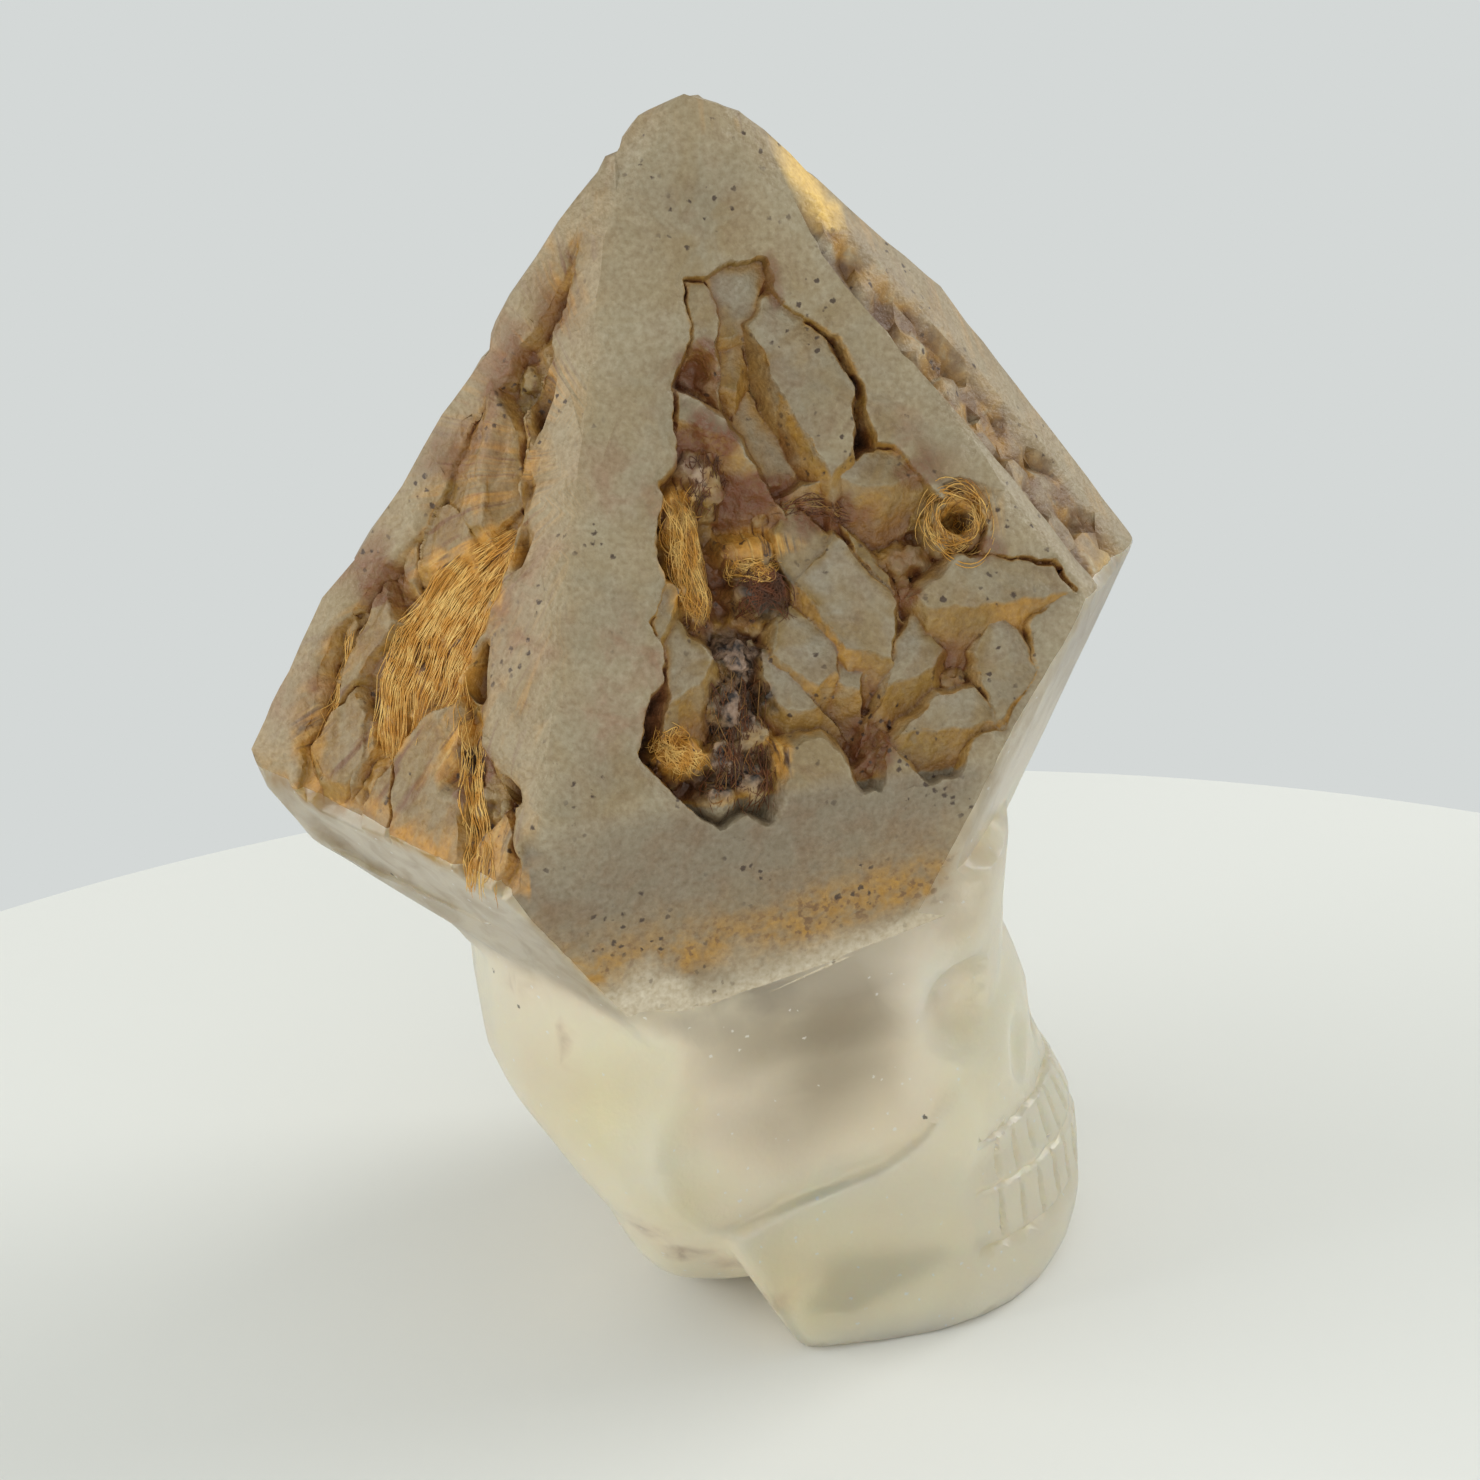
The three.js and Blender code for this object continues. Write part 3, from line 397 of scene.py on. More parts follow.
LEFT_SPOTS = {
    "gold": [
        (-17.5, 19.5, 3.6, 4.0, 0.9), (-19.5, 14.5, 5.0, 4.6, 0.9), (-18.5, 8.5, 5.0, 4.6, 0.9),
        (-21.0, 2.4, 2.4, 4.0, 0.8), (-12.4, 3.4, 1.6, 4.0, 0.8), (-5.4, -4.0, 2.2, 4.0, 0.6),
        (-29.6, -1.0, 1.8, 4.0, 0.5), (-16.0, 29.4, 1.2, 1.6, 0.5),
    ],
    "rust": [
        (-20.5, 9.8, 2.6, 2.1, 0.9), (-10.6, 1.7, 2.4, 3.3, 0.9), (-28.7, 14.4, 3.8, 2.6, 0.8),
        (-23.6, 5.7, 3.2, 3.4, 0.5), (-23.2, 36.8, 1.6, 3.4, 0.7), (-20.3, 43.6, 2.5, 2.1, 0.6),
        (-25.9, 27.4, 3.1, 2.5, 0.6), (-20.1, -6.9, 5.2, 1.3, 0.8),
    ],
    # The dark spots are painted shade over the holes.
    "dark": [(-11.6, 2.6, 1.3, 1.4, 1.0), (-20.7, 9.7, 1.6, 1.3, 0.8)],
    "pink": [
        (-12.0, 16.9, 3.1, 4.8, 0.6), (-10.7, 23.3, 2.5, 2.5, 0.4), (-8.0, 30.1, 4.0, 2.1, 0.4),
        (-2.2, 17.3, 3.0, 1.6, 0.5), (1.1, 11.8, 2.9, 2.0, 0.5), (-32.9, 1.6, 3.3, 3.4, 0.5),
        (-30.8, 15.0, 3.3, 2.6, 0.5), (-23.0, 29.6, 3.1, 4.2, 0.4), (-25.3, 38.7, 4.7, 3.7, 0.5),
    ],
}
SPOTS = {"front": FRONT_SPOTS, "left": LEFT_SPOTS}

# What the rough stone's finish reads from the mesh.
STONE_MARKS = (
    "crease", "ridge", "shelter", "sunk", "tan", "prism", "top", "brim", "below", "deep", "seam", "rubble",
    "amber", "hem", "fade", *FRONT_SPOTS,
)

# Unevenness of the surface and of the masks: the size of its largest lumps in mm, its octaves and its seed.
NOISES = {
    "broad": (7.0, 2, 1.0),
    "fine": (1.3, 3, 3.0),
    "lumpy": (1.5, 4, 4.0),
    "grooves": (1.0, 4, 12.0),
    "worn": (3.0, 4, 13.0),
    "spots": (2.6, 3, 2.0),
    "clouds": (9.0, 2, 8.0),
    "band": (2.2, 4, 9.0),
    "border": (5.0, 3, 11.0),
    "verge": (3.0, 4, 17.0),
    "hem": (2.0, 3, 16.0),
    "rubble": (2.4, 3, 14.0),
    "amber": (2.0, 4, 15.0),
}

# Mottling in the finishes: scale, detail, the values that give 0 and 1, and distortion.
MOTTLES = {
    "cloud": (85.0, 5.0, 0.36, 0.66, 0.3),
    "patch": (330.0, 6.0, 0.42, 0.72, 0.6),
    "grain": (1900.0, 4.0, 0.25, 0.75, 0.0),
    "crowd": (130.0, 2.0, 0.5, 0.6, 0.0),
    "band_grains": (700.0, 6.0, 0.18, 0.66, 0.5),
    "band_brown": (1300.0, 3.0, 0.56, 0.64, 0.0),
    "yellow": (150.0, 6.0, 0.44, 0.6, 0.8),
    "rubble_pale": (420.0, 4.0, 0.5, 0.66, 0.5),
    "rubble_brown": (300.0, 5.0, 0.4, 0.56, 0.0),
    "crust_dark": (900.0, 4.0, 0.4, 0.58, 0.0),
    "streaks": (1.0, 3.0, 0.48, 0.64, 0.4),
    "rusty": (1.0, 3.0, 0.56, 0.68, 0.4),
    "straw": (1.0, 3.0, 0.5, 0.75, 0.4),
    "umber": (1.0, 3.0, 0.56, 0.68, 0.4),
    "fibre_gold": (700.0, 2.0, 0.4, 0.65, 0.0),
    "fibre_brown": (900.0, 2.0, 0.4, 0.65, 0.0),
}
# Lines that run with the fibres: how close they are across and along them.
STRAND_SCALES = {"streaks": (0.9, 0.07), "rusty": (1.3, 0.12), "straw": (3.4, 0.12), "umber": (2.6, 0.16)}
# Small grains: scale, their size in a cell, and the share of the cells that have one.
SPECKS = {
    "fine": (1200.0, 0.36, 0.3),
    "large": (620.0, 0.24, 0.035),
    # The white flecks are painted glints.
    "glint_flecks": (1500.0, 0.3, 0.05),
    "black": (420.0, 0.12, 0.06),
}
# How raggedly the grains are drawn: the noise's scale, and how far it pushes in metres.
SPECK_WANDER_SCALE = 2400.0
SPECK_WANDER = 0.0006
QUARTZ_IOR = 1.54

STONE_GREY = tone(150, 139, 114)
STONE_PALE = tone(184, 172, 144)
STONE_YELLOW = tone(156, 130, 78)
STONE_BROWN = tone(128, 94, 56)
FACET_GREY = tone(170, 162, 144)
TAN = tone(160, 130, 78)
OLIVE = tone(140, 112, 50)
OCHRE = tone(182, 136, 54)
GOLD = tone(214, 156, 62)
STRAW = tone(240, 200, 116)
UMBER = tone(84, 50, 26)
RUST = tone(118, 66, 32)
DARK = tone(44, 32, 25)
SPECK = tone(60, 40, 24)
CRUST_GREY = tone(158, 132, 112)
PINK = tone(156, 108, 78)
ORANGE = tone(188, 142, 56)
AMBER = tone(255, 214, 120)
MILK = tone(255, 242, 218)
PEARL = tone(254, 244, 228)
VEIL = tone(218, 206, 182)
SMOKE = tone(146, 130, 104)
VIOLET = tone(104, 90, 76)
WARM = tone(255, 236, 194)
PRISM_GREY = tone(144, 133, 113)
WHITE = (1.0, 1.0, 1.0, 1.0)
GRAIN_SHADE = tone(194, 180, 152)
BACKDROP = tone(212, 216, 215)
TABLE_WHITE = tone(232, 233, 228)

# The studio, in metres: the round table, the backdrop's share of its brightness as a light, and the lights'
# places, aims, widths, powers in watts and colours.
TABLE_MIDDLE = (0.028, -0.105)
TABLE_RADIUS = 0.192
TABLE_DEPTH = 0.012
AMBIENT = 0.85
LIGHTS = {
    "window_left": ((-1.2, -0.15, 0.5), (0, 0, 0.06), 1.0, 7.5, (1.0, 0.99, 0.97)),
    "window_right": ((1.0, 0.6, 0.7), (0, 0, 0.05), 0.8, 8.0, (1.0, 0.99, 0.97)),
    "window_front": ((0.25, -1.3, 0.15), (0.01, 0, 0.04), 1.0, 5.0, (1.0, 0.98, 0.94)),
    "overhead": ((0.10, 0.25, 1.5), (0, 0, 0.0), 1.4, 1.0, (1.0, 1.0, 0.99)),
}


def smoothstep(low, high, x):
    t = np.clip((x - low) / (high - low), 0.0, 1.0)
    return t * t * (3.0 - 2.0 * t)


def plane_through(names):
    """A point on the plane and its normal, pointing out of the crystal."""
    a, b, c = (np.array(CORNER[name]) + SHIFT for name in names)
    out = np.cross(b - a, c - a)
    out /= np.linalg.norm(out)
    if out @ (a - INSIDE - SHIFT) < 0:
        out = -out
    return a, out


def planes_beside(face):
    """Every plane of the crystal but one sloping face's own."""
    slopes = [names for name, names in SLOPES.items() if name != face]
    return [plane_through(names) for names in (*slopes, PRISM, *CUTS)]


def slope_frame(face):
    """A sloping face's origin and its directions along, up and out."""
    origin, out = plane_through(SLOPES[face])
    along = np.array([-out[1], out[0], 0.0])
    along /= np.linalg.norm(along)
    return origin, along, np.cross(out, along), out


def on_slope(points, face):
    """Millimetres along, up and out of a sloping face."""
    origin, along, up, out = slope_frame(face)
    offset = points - origin
    return offset @ along, offset @ up, offset @ out


def off_slope(face, u, v, height):
    """Points from their places along, up and out of a sloping face."""
    origin, along, up, out = slope_frame(face)
    return origin + np.outer(u, along) + np.outer(v, up) + np.outer(height, out)


def reach_from(u, v, middle_u, middle_v, half_u, half_v):
    """Distance from the middle of an oval, as a share of its size."""
    return np.hypot((u - middle_u) / half_u, (v - middle_v) / half_v)


def read_flat(items, key, width, kind=np.float32):
    flat = np.empty(len(items) * width, kind)
    items.foreach_get(key, flat)
    return flat.reshape(-1, width)


def positions(mesh):
    return read_flat(mesh.vertices, "co", 3).astype(float) / MM


def set_positions(mesh, points):
    mesh.vertices.foreach_set("co", (points * MM).astype(np.float32).ravel())
    mesh.update()


def vertex_normals(mesh):
    return read_flat(mesh.vertex_normals, "vector", 3).astype(float)


def edge_pairs(mesh):
    return read_flat(mesh.edges, "vertices", 2, np.int32)


def neighbour_mean(values, pairs):
    """Each vertex's mean over the vertices that it shares an edge with."""
    count = len(values)
    a, b = pairs[:, 0], pairs[:, 1]
    degree = np.bincount(a, minlength=count) + np.bincount(b, minlength=count)
    columns = values.reshape(count, -1)
    total = np.empty_like(columns)
    for k in range(columns.shape[1]):
        total[:, k] = np.bincount(a, columns[b, k], count) + np.bincount(b, columns[a, k], count)
    return (total / np.maximum(degree, 1)[:, None]).reshape(values.shape)


def smoothed(values, pairs, rounds, weight=0.5):
    blend = weight if np.isscalar(weight) or values.ndim == 1 else weight[:, None]
    for _ in range(rounds):
        values = values + blend * (neighbour_mean(values, pairs) - values)
    return values


def smoothed_line(values, rounds):
    for _ in range(rounds):
        padded = np.pad(values, 1, mode="edge")
        values = (padded[:-2] + padded[1:-1] + padded[2:]) / 3
    return values


def noise_at(points, kind):
    """Fractal noise of about -1 to 1 at each point."""
    scale, octaves, seed = NOISES[kind]
    shift = Vector((seed * 7.3, seed * 3.1, seed * 5.7))
    return np.array([
        noise.fractal(Vector(p) / scale + shift, 0.9, 2.1, octaves, noise_basis="PERLIN_ORIGINAL")
        for p in points
    ])


def scatter(i, j, seed):
    """A repeatable number from 0 to 1 for each whole-numbered cell."""
    value = np.sin(i * 127.1 + j * 311.7 + seed * 74.7) * 43758.5453
    return value - np.floor(value)


def new_object(name, data):
    piece = bpy.data.objects.new(name, data)
    bpy.context.scene.collection.objects.link(piece)
    return piece


def apply(piece, kind, **settings):
    """Replaces the piece's mesh with what one modifier makes of it."""
    modifier = piece.modifiers.new(kind, kind)
    for key, value in settings.items():
        setattr(modifier, key, value)
    seen = piece.evaluated_get(bpy.context.evaluated_depsgraph_get())
    mesh = bpy.data.meshes.new_from_object(seen)
    piece.modifiers.clear()
    old = piece.data
    piece.data = mesh
    bpy.data.meshes.remove(old)


def write_back(shell, mesh):
    """Puts edited faces back into their mesh, as triangles."""
    bmesh.ops.triangulate(shell, faces=[f for f in shell.faces if len(f.verts) > 3])
    shell.to_mesh(mesh)
    shell.free()
    mesh.update()


def add_plug(shell, face):
    """Fills a hollow up to its face, so that it can be carved again."""
    outline = np.array(HOLLOWS[face]["outline"], float)
    count = len(outline)
    middle = outline.mean(0)
    across, upward = (middle + (outline - middle) * PLUG_SPREAD).T
    bottom, top = (
        [shell.verts.new(place) for place in off_slope(face, across, upward, np.full(count, height)) * MM]
        for height in (-PLUG_DEPTH, 0.0)
    )
    faces = [shell.faces.new(bottom[::-1]), shell.faces.new(top)]
    for k in range(count):
        after = (k + 1) % count
        faces.append(shell.faces.new((bottom[k], bottom[after], top[after], top[k])))
    parts = list({v for f in faces for v in f.verts}) + list({e for f in faces for e in f.edges}) + faces
    bmesh.ops.recalc_face_normals(shell, faces=faces)
    for point, normal in planes_beside(face):
        parts = [part for part in parts if part.is_valid]
        cut = bmesh.ops.bisect_plane(
            shell, geom=parts, dist=1e-7, plane_co=point * MM, plane_no=normal, clear_outer=True,
        )
        parts = cut["geom"]
        rim = [e for e in cut["geom_cut"] if isinstance(e, bmesh.types.BMEdge)]
        if rim:
            parts += bmesh.ops.holes_fill(shell, edges=rim, sides=0)["faces"]


def blank_stone():
    """The solid model's shape with its two finest hollows filled, remade as an even fine mesh."""
    shell = bmesh.new()
    shell.from_mesh(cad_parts[NODE].data)
    bmesh.ops.remove_doubles(shell, verts=shell.verts, dist=1e-6)
    for face in HOLLOWS:
        add_plug(shell, face)
    mesh = bpy.data.meshes.new("quartz")
    shell.to_mesh(mesh)
    shell.free()
    stone = new_object("quartz_crystal_and_skull", mesh)
    apply(stone, "REMESH", mode="VOXEL", voxel_size=VOXEL * MM)
    return stone


def out_of(points, names):
    """How far each point stands out of a plane; negative inside the crystal."""
    point, out = plane_through(names)
    return (points - point) @ out


def zones(points):
    """How far each point stands out of every sloping face, out of the nearest of them, out of the upright
    face and out of the nearest of the carver's cuts."""
    slopes = {face: out_of(points, names) for face, names in SLOPES.items()}
    slope = np.max(list(slopes.values()), axis=0)
    cut = np.max([out_of(points, names) for names in CUTS], axis=0)
    return slopes, slope, out_of(points, PRISM), cut


def tip_share(points, slope, prism, cut):
    """1 on the crystal's sloping faces and 0 below them."""
    share = smoothstep(-0.4, 0.4, slope - np.maximum(prism, cut))
    return share * (points[:, 2] > TIP_FOOT)


def spot_mask(points, slopes, kind):
    """Where one kind of stain, or the painted shade over the holes, lies on the two near faces."""
    mask = np.zeros(len(points))
    wander = noise_at(points, "spots")
    for face, spots in SPOTS.items():
        u, v, _ = on_slope(points, face)
        near = slopes[face] > -HOLLOW_LIMIT
        for *oval, strength in spots.get(kind, ()):
            reach = reach_from(u, v, *oval) + 0.55 * wander
            mask = np.maximum(mask, near * strength * (1.0 - smoothstep(0.55, 1.25, reach)))
    return mask


def cloud_mask(points, kind):
    """Where one kind of cloud shows in the polished stone."""
    wander = noise_at(points, "clouds")
    mask = np.zeros(len(points))
    for *oval, strength in CLOUDS[kind]:
        reach = reach_from(points[:, 0], points[:, 2], *oval) + 0.3 * wander
        mask = np.maximum(mask, strength * (1.0 - smoothstep(0.1, 1.3, reach)))
    return mask


def band_mask(points):
    """The iron stain round the foot of the rough crystal."""
    low = np.interp(points[:, 0], *zip(*BAND_LOW))
    high = np.interp(points[:, 0], *zip(*BAND_HIGH))
    z = points[:, 2] + 1.1 * noise_at(points, "band")
    strong = 1.0 - smoothstep(high - 3.5, high + 0.8, z)
    broad = 1.0 - smoothstep(low + 2.0, high + 5.0, z)
    return smoothstep(low - 1.4, low + 1.0, z) * np.clip(0.6 * strong + 0.5 * broad, 0.0, 1.0)


def mouth_places(points):
    """Each point's angle about the mouth's centre, its distance from it, and its height above the smile."""
    x = points[:, 0] - SHIFT[0]
    y = points[:, 1] - SHIFT[1] - SKULL_MIDDLE
    forward = x * math.cos(SKULL_TURN) + y * math.sin(SKULL_TURN) - MOUTH_CENTRE
    side = x * math.sin(SKULL_TURN) - y * math.cos(SKULL_TURN)
    angle = np.arctan2(side, forward)
    return angle, np.hypot(side, forward), points[:, 2] - MOUTH_SMILE * (angle / MOUTH_REACH) ** 2


def groove(distance, half_width):
    return 1.0 - smoothstep(0.15 * half_width, half_width, np.abs(distance))


def mouth_depth(points):
    """How deep the carving wheel cut at each point of the jaw."""
    angle, reach, height = mouth_places(points)
    depth = np.zeros(len(points))
    for line, line_depth in zip(MOUTH_LINES, MOUTH_LINE_DEPTHS):
        depth = np.maximum(depth, line_depth * groove(height - line, GROOVE_HALF_WIDTH))
    low, middle, high = MOUTH_LINES
    for k in range(1, TEETH):
        across = (angle - MOUTH_REACH * (2 * k / TEETH - 1)) * reach + 0.5 * (scatter(k, 0, 6.0) - 0.5)
        for bottom, top in ((low, middle), (middle, high)):
            part = (height - (bottom + top) / 2) / ((top - bottom) * (0.36 + 0.14 * scatter(k, top, 6.0)))
            lens = np.sqrt(np.clip(1.0 - part ** 2, 0.0, 1.0))
            cut = TOOTH_GAP_DEPTH * lens * groove(across, GROOVE_HALF_WIDTH * (0.35 + 0.65 * lens))
            depth = np.maximum(depth, cut * (0.5 + 0.5 * scatter(k, top, 7.0)))
    return depth * (np.abs(angle) < MOUTH_REACH) * (reach > MOUTH_INNER)


def near_grooves(points):
    angle, reach, height = mouth_places(points)
    within = (height > MOUTH_LINES[0] - GROOVE_MARGIN) & (height < MOUTH_LINES[-1] + GROOVE_MARGIN)
    return within & (np.abs(angle) < MOUTH_REACH + 0.1) & (reach > MOUTH_INNER)


def bud_height(points, face, seed):
    """The height of a cover of small crystals that all point up one sloping face."""
    u, v, _ = on_slope(points, face)
    column, row = np.floor(u / BUD_WIDTH), np.floor(v / BUD_LENGTH)
    height = np.full(len(points), -1.0)
    for i, j in ((column + di, row + dj) for di in (-1, 0, 1) for dj in (-1, 0, 1)):
        middle = (i + 0.2 + 0.6 * scatter(i, j, seed)) * BUD_WIDTH
        top = (j + 0.7 + 0.6 * scatter(i, j, seed + 1)) * BUD_LENGTH
        half = BUD_WIDTH * (0.35 + 0.4 * scatter(i, j, seed + 2))
        length = BUD_LENGTH * (0.5 + 0.6 * scatter(i, j, seed + 3))
        down = top - v
        beside = np.abs(u - middle) - half * np.clip(down / (0.7 * length), 0.0, 1.0)
        outside = np.maximum(np.maximum(beside * 1.3, down - length), -down)
        height = np.maximum(height, scatter(i, j, seed + 4) - 1.5 * np.maximum(outside, 0.0))
    return height * BUD_HEIGHT


def ledge_share(points):
    """1 near the ledge along the cheek, on both sides of the skull."""
    x, z = zip(*LEDGE)
    gap = np.abs(points[:, 2] - np.interp(points[:, 0], x, z))
    along = smoothstep(x[0] - 2.0, x[0], points[:, 0]) * (1.0 - smoothstep(x[-1], x[-1] + 1.5, points[:, 0]))
    return (1.0 - smoothstep(0.8, 2.0, gap)) * along


def inside_distance(u, v, outline):
    """How far each place is inside an outline, in mm; negative outside."""
    nearest = np.full(len(u), FAR)
    crossings = np.zeros(len(u), int)
    for (au, av), (bu, bv) in zip(outline, outline[1:] + outline[:1]):
        du, dv = bu - au, bv - av
        share = np.clip(((u - au) * du + (v - av) * dv) / (du * du + dv * dv), 0.0, 1.0)
        nearest = np.minimum(nearest, np.hypot(u - au - share * du, v - av - share * dv))
        if av != bv:
            crossings += ((av > v) != (bv > v)) & (u < au + (v - av) * du / dv)
    return np.where(crossings % 2 == 1, nearest, -nearest)


def facet_fall(u, v, corners):
    """How far the crystal falls below its facet's plane at each place, and on which of its sides. On the
    facet itself the fall is negative."""
    fall = np.full(len(u), -FAR)
    side = np.zeros(len(u), int)
    for k, ((au, av), (bu, bv)) in enumerate(zip(corners, corners[1:] + corners[:1])):
        length = math.hypot(bu - au, bv - av)
        out_u, out_v = (bv - av) / length, -(bu - au) / length
        steep = min(UPRIGHT_FALL / max(-out_v, 0.01), STEEPEST_FALL) if out_v < 0 else TIP_FALL
        here = steep * ((u - au) * out_u + (v - av) * out_v)
        side = np.where(here > fall, k, side)
        fall = np.maximum(fall, here)
    return fall, side


def side_is_upright(corners):
    """Which sides of a facet are the crystal's upright sides, below it."""
    ends = np.array(corners[1:] + corners[:1], float) - np.array(corners, float)
    return ends[:, 0] / np.hypot(ends[:, 0], ends[:, 1]) > 0.25


def wavered(u, v):
    """Places moved about a little, so that no outline is quite straight."""
    wave_u = BROAD_WAVE * np.sin(1.7 * v + 1.4 * np.sin(0.9 * u))
    wave_v = BROAD_WAVE * np.sin(1.9 * u + 1.2 * np.sin(0.8 * v + 2.0))
    wave_u += FINE_WAVE * np.sin(4.3 * v + 2.1 * u)
    wave_v += FINE_WAVE * np.sin(4.7 * u - 1.9 * v)
    return u + wave_u, v + wave_v


def lip(u, v, face):
    """How far inside a hollow each place is, and the height of the face's rounded rim and the bank."""
    hollow = HOLLOWS[face]
    inside = inside_distance(*wavered(u, v), hollow["outline"])
    rounding = LIP_DROP * np.clip(1.0 + inside / LIP_WIDTH, 0.0, 1.0) ** 2
    return inside, -rounding - hollow["side"] * np.maximum(inside, 0.0)


def crystals(u, v, face):
    """Each crystal in a hollow: its height, the label of each flat piece, and its fall. The fall is negative
    on the facet and above 0 on the upright sides."""
    shingle = FRONT_SHINGLE if face == "front" else 0.0
    for number, (level, rise_u, rise_v, corners) in enumerate(FACETS[face]):
        middle_u, middle_v = np.mean(corners, axis=0)
        below, side = facet_fall(u, v, corners)
        tilt_u = rise_u + FACET_TILT * (scatter(number, 1, 5.0) - 0.5)
        tilt_v = rise_v - shingle + FACET_TILT * (scatter(number, 2, 5.0) - 0.5)
        height = level + tilt_u * (u - middle_u) + tilt_v * (v - middle_v) - np.maximum(below, 0.0)
        label = CRYSTAL_LABELS * (number + 1) + np.where(below > 0, side + 1, 0)
        upright = side_is_upright(corners)[side]
        yield height, label, np.where((below > 0) & ~upright, 0.0, below)


def lumps(u, v, face):
    """Each rounded lump in a hollow: its height, label and fall."""
    for *oval, level in LUMPS[face]:
        reach = reach_from(u, v, *oval)
        dome = min(oval[2:]) * (np.sqrt(np.clip(1.0 - reach ** 2, 0.0, 1.0)) - 1.0)
        yield level + dome - 4.0 * np.maximum(reach - 1.0, 0.0), FLOOR, 0.6


def relief(u, v, face):
    """The carved hollow: its height, the label of the piece that each place is on, the fall down an upright
    side below its facet (negative on a facet itself), and the gap down to the next piece."""
    depth = HOLLOWS[face]["depth"]
    inside, bank = lip(u, v, face)
    u, v = wavered(u, v)
    height = np.maximum(bank, -depth)
    piece = np.where(bank > -depth, np.where(inside < 0, AROUND, BANK), FLOOR)
    fall = np.where(inside < 0, 0.0, 1.0)
    second = np.full(len(u), -FAR)
    for value, label, drop in chain(crystals(u, v, face), lumps(u, v, face)):
        higher = value > height
        second = np.where(higher, height, np.maximum(second, value))
        piece = np.where(higher, label, piece)
        fall = np.where(higher, drop, fall)
        height = np.where(higher, value, height)
    if face == "front":
        away = np.hypot(u - NEST_MIDDLE[0], v - NEST_MIDDLE[1])
        value = NEST_LEVEL - 1.3 * np.abs(away - NEST_RADIUS)
        fall = np.where(value > height, 1.0, fall)
        piece = np.where(value > height, FLOOR, piece)
        height = np.maximum(height, np.where(value > NEST_LEVEL - 2.0, value, -FAR))
    for *oval, deeper in HOLES[face]:
        height = height - deeper * np.clip(1.0 - reach_from(u, v, *oval) ** 2, 0.0, 1.0)
    return np.where(inside < 0, bank, height), piece, fall, np.clip(height - second, 0.0, FAR)


def face_ceiling(points, face):
    """How far below a sloping face, along its normal, the crystal's other faces cut it off."""
    _, out = plane_through(SLOPES[face])
    level = points - np.outer(on_slope(points, face)[2], out)
    lowest = np.zeros(len(points))
    for point, normal in planes_beside(face):
        toward = out @ normal
        if toward > 0.05:
            lowest = np.minimum(lowest, -((level - point) @ normal) / toward)
    return lowest


def on_hollow(points, face, slack):
    """Which points lie on a face's own surface, in or beside its hollow; then their places and ceiling."""
    u, v, h = on_slope(points, face)
    near = inside_distance(u, v, HOLLOWS[face]["outline"]) > -slack
    ceiling = face_ceiling(points, face)
    return near & (h > ceiling - 0.7) & (h > -HOLLOW_LIMIT), u, v, h, ceiling


def split_where(stone, label_of):
    """Adds corners exactly where the label of the surface changes, so that edges and borders stay crisp."""
    mesh = stone.data
    points = positions(mesh)
    labels = label_of(points)
    pairs = edge_pairs(mesh)
    a, b = labels[pairs[:, 0]], labels[pairs[:, 1]]
    crossing = np.flatnonzero((a != b) & (a >= 0) & (b >= 0))
    first, last = pairs[crossing, 0], pairs[crossing, 1]
    low, high = np.zeros(len(crossing)), np.ones(len(crossing))
    for _ in range(HALVINGS):
        half = (low + high) / 2
        same = label_of(points[first] + (points[last] - points[first]) * half[:, None]) == labels[first]
        low, high = np.where(same, half, low), np.where(same, high, half)
    shares = np.clip((low + high) / 2, SPLIT_MARGIN, 1.0 - SPLIT_MARGIN)
    shell = bmesh.new()
    shell.from_mesh(mesh)
    shell.verts.ensure_lookup_table()
    shell.edges.ensure_lookup_table()
    edges = [shell.edges[k] for k in crossing]
    starts = [shell.verts[k] for k in first]
    added = [
        bmesh.utils.edge_split(edge, start, float(share))[1]
        for edge, start, share in zip(edges, starts, shares)
    ]
    bmesh.ops.connect_verts(shell, verts=added)
    write_back(shell, mesh)


def crystal_labels(face):
    """What split_where asks of a hollow: each point's label, or -1 off the hollow."""
    def label_of(points):
        chosen, u, v, _, _ = on_hollow(points, face, RIM_SLACK)
        return np.where(chosen, relief(u, v, face)[1], -1)
    return label_of


def is_stained(points):
    """1 where the rough stained crystal is, and 0 on the polished skull and the sawn faces."""
    _, slope, prism, cut = zones(points)
    edge = np.interp(points[:, 0], *zip(*STAIN_FOOT)) + 0.8 * noise_at(points, "border")
    rough = (slope > -6.5) & ((slope > cut) | (cut < -1.2))
    return (np.where(prism > cut, points[:, 2] > edge, rough) & (points[:, 2] > 38.5)).astype(int)


def sink_hollow(stone, face):
    """Presses the flat face down into its crystals."""
    mesh = stone.data
    points = positions(mesh)
    chosen, u, v, h, ceiling = on_hollow(points, face, RIM_SLACK)
    target = np.minimum(relief(u, v, face)[0], ceiling)
    move = np.where(chosen & (target < h - 0.02), target - h, 0.0)
    pairs = edge_pairs(mesh)
    soft = smoothed(chosen.astype(float), pairs, 2) * 0.5
    _, out = plane_through(SLOPES[face])
    set_positions(mesh, smoothed(points + move[:, None] * out, pairs, 2, soft))


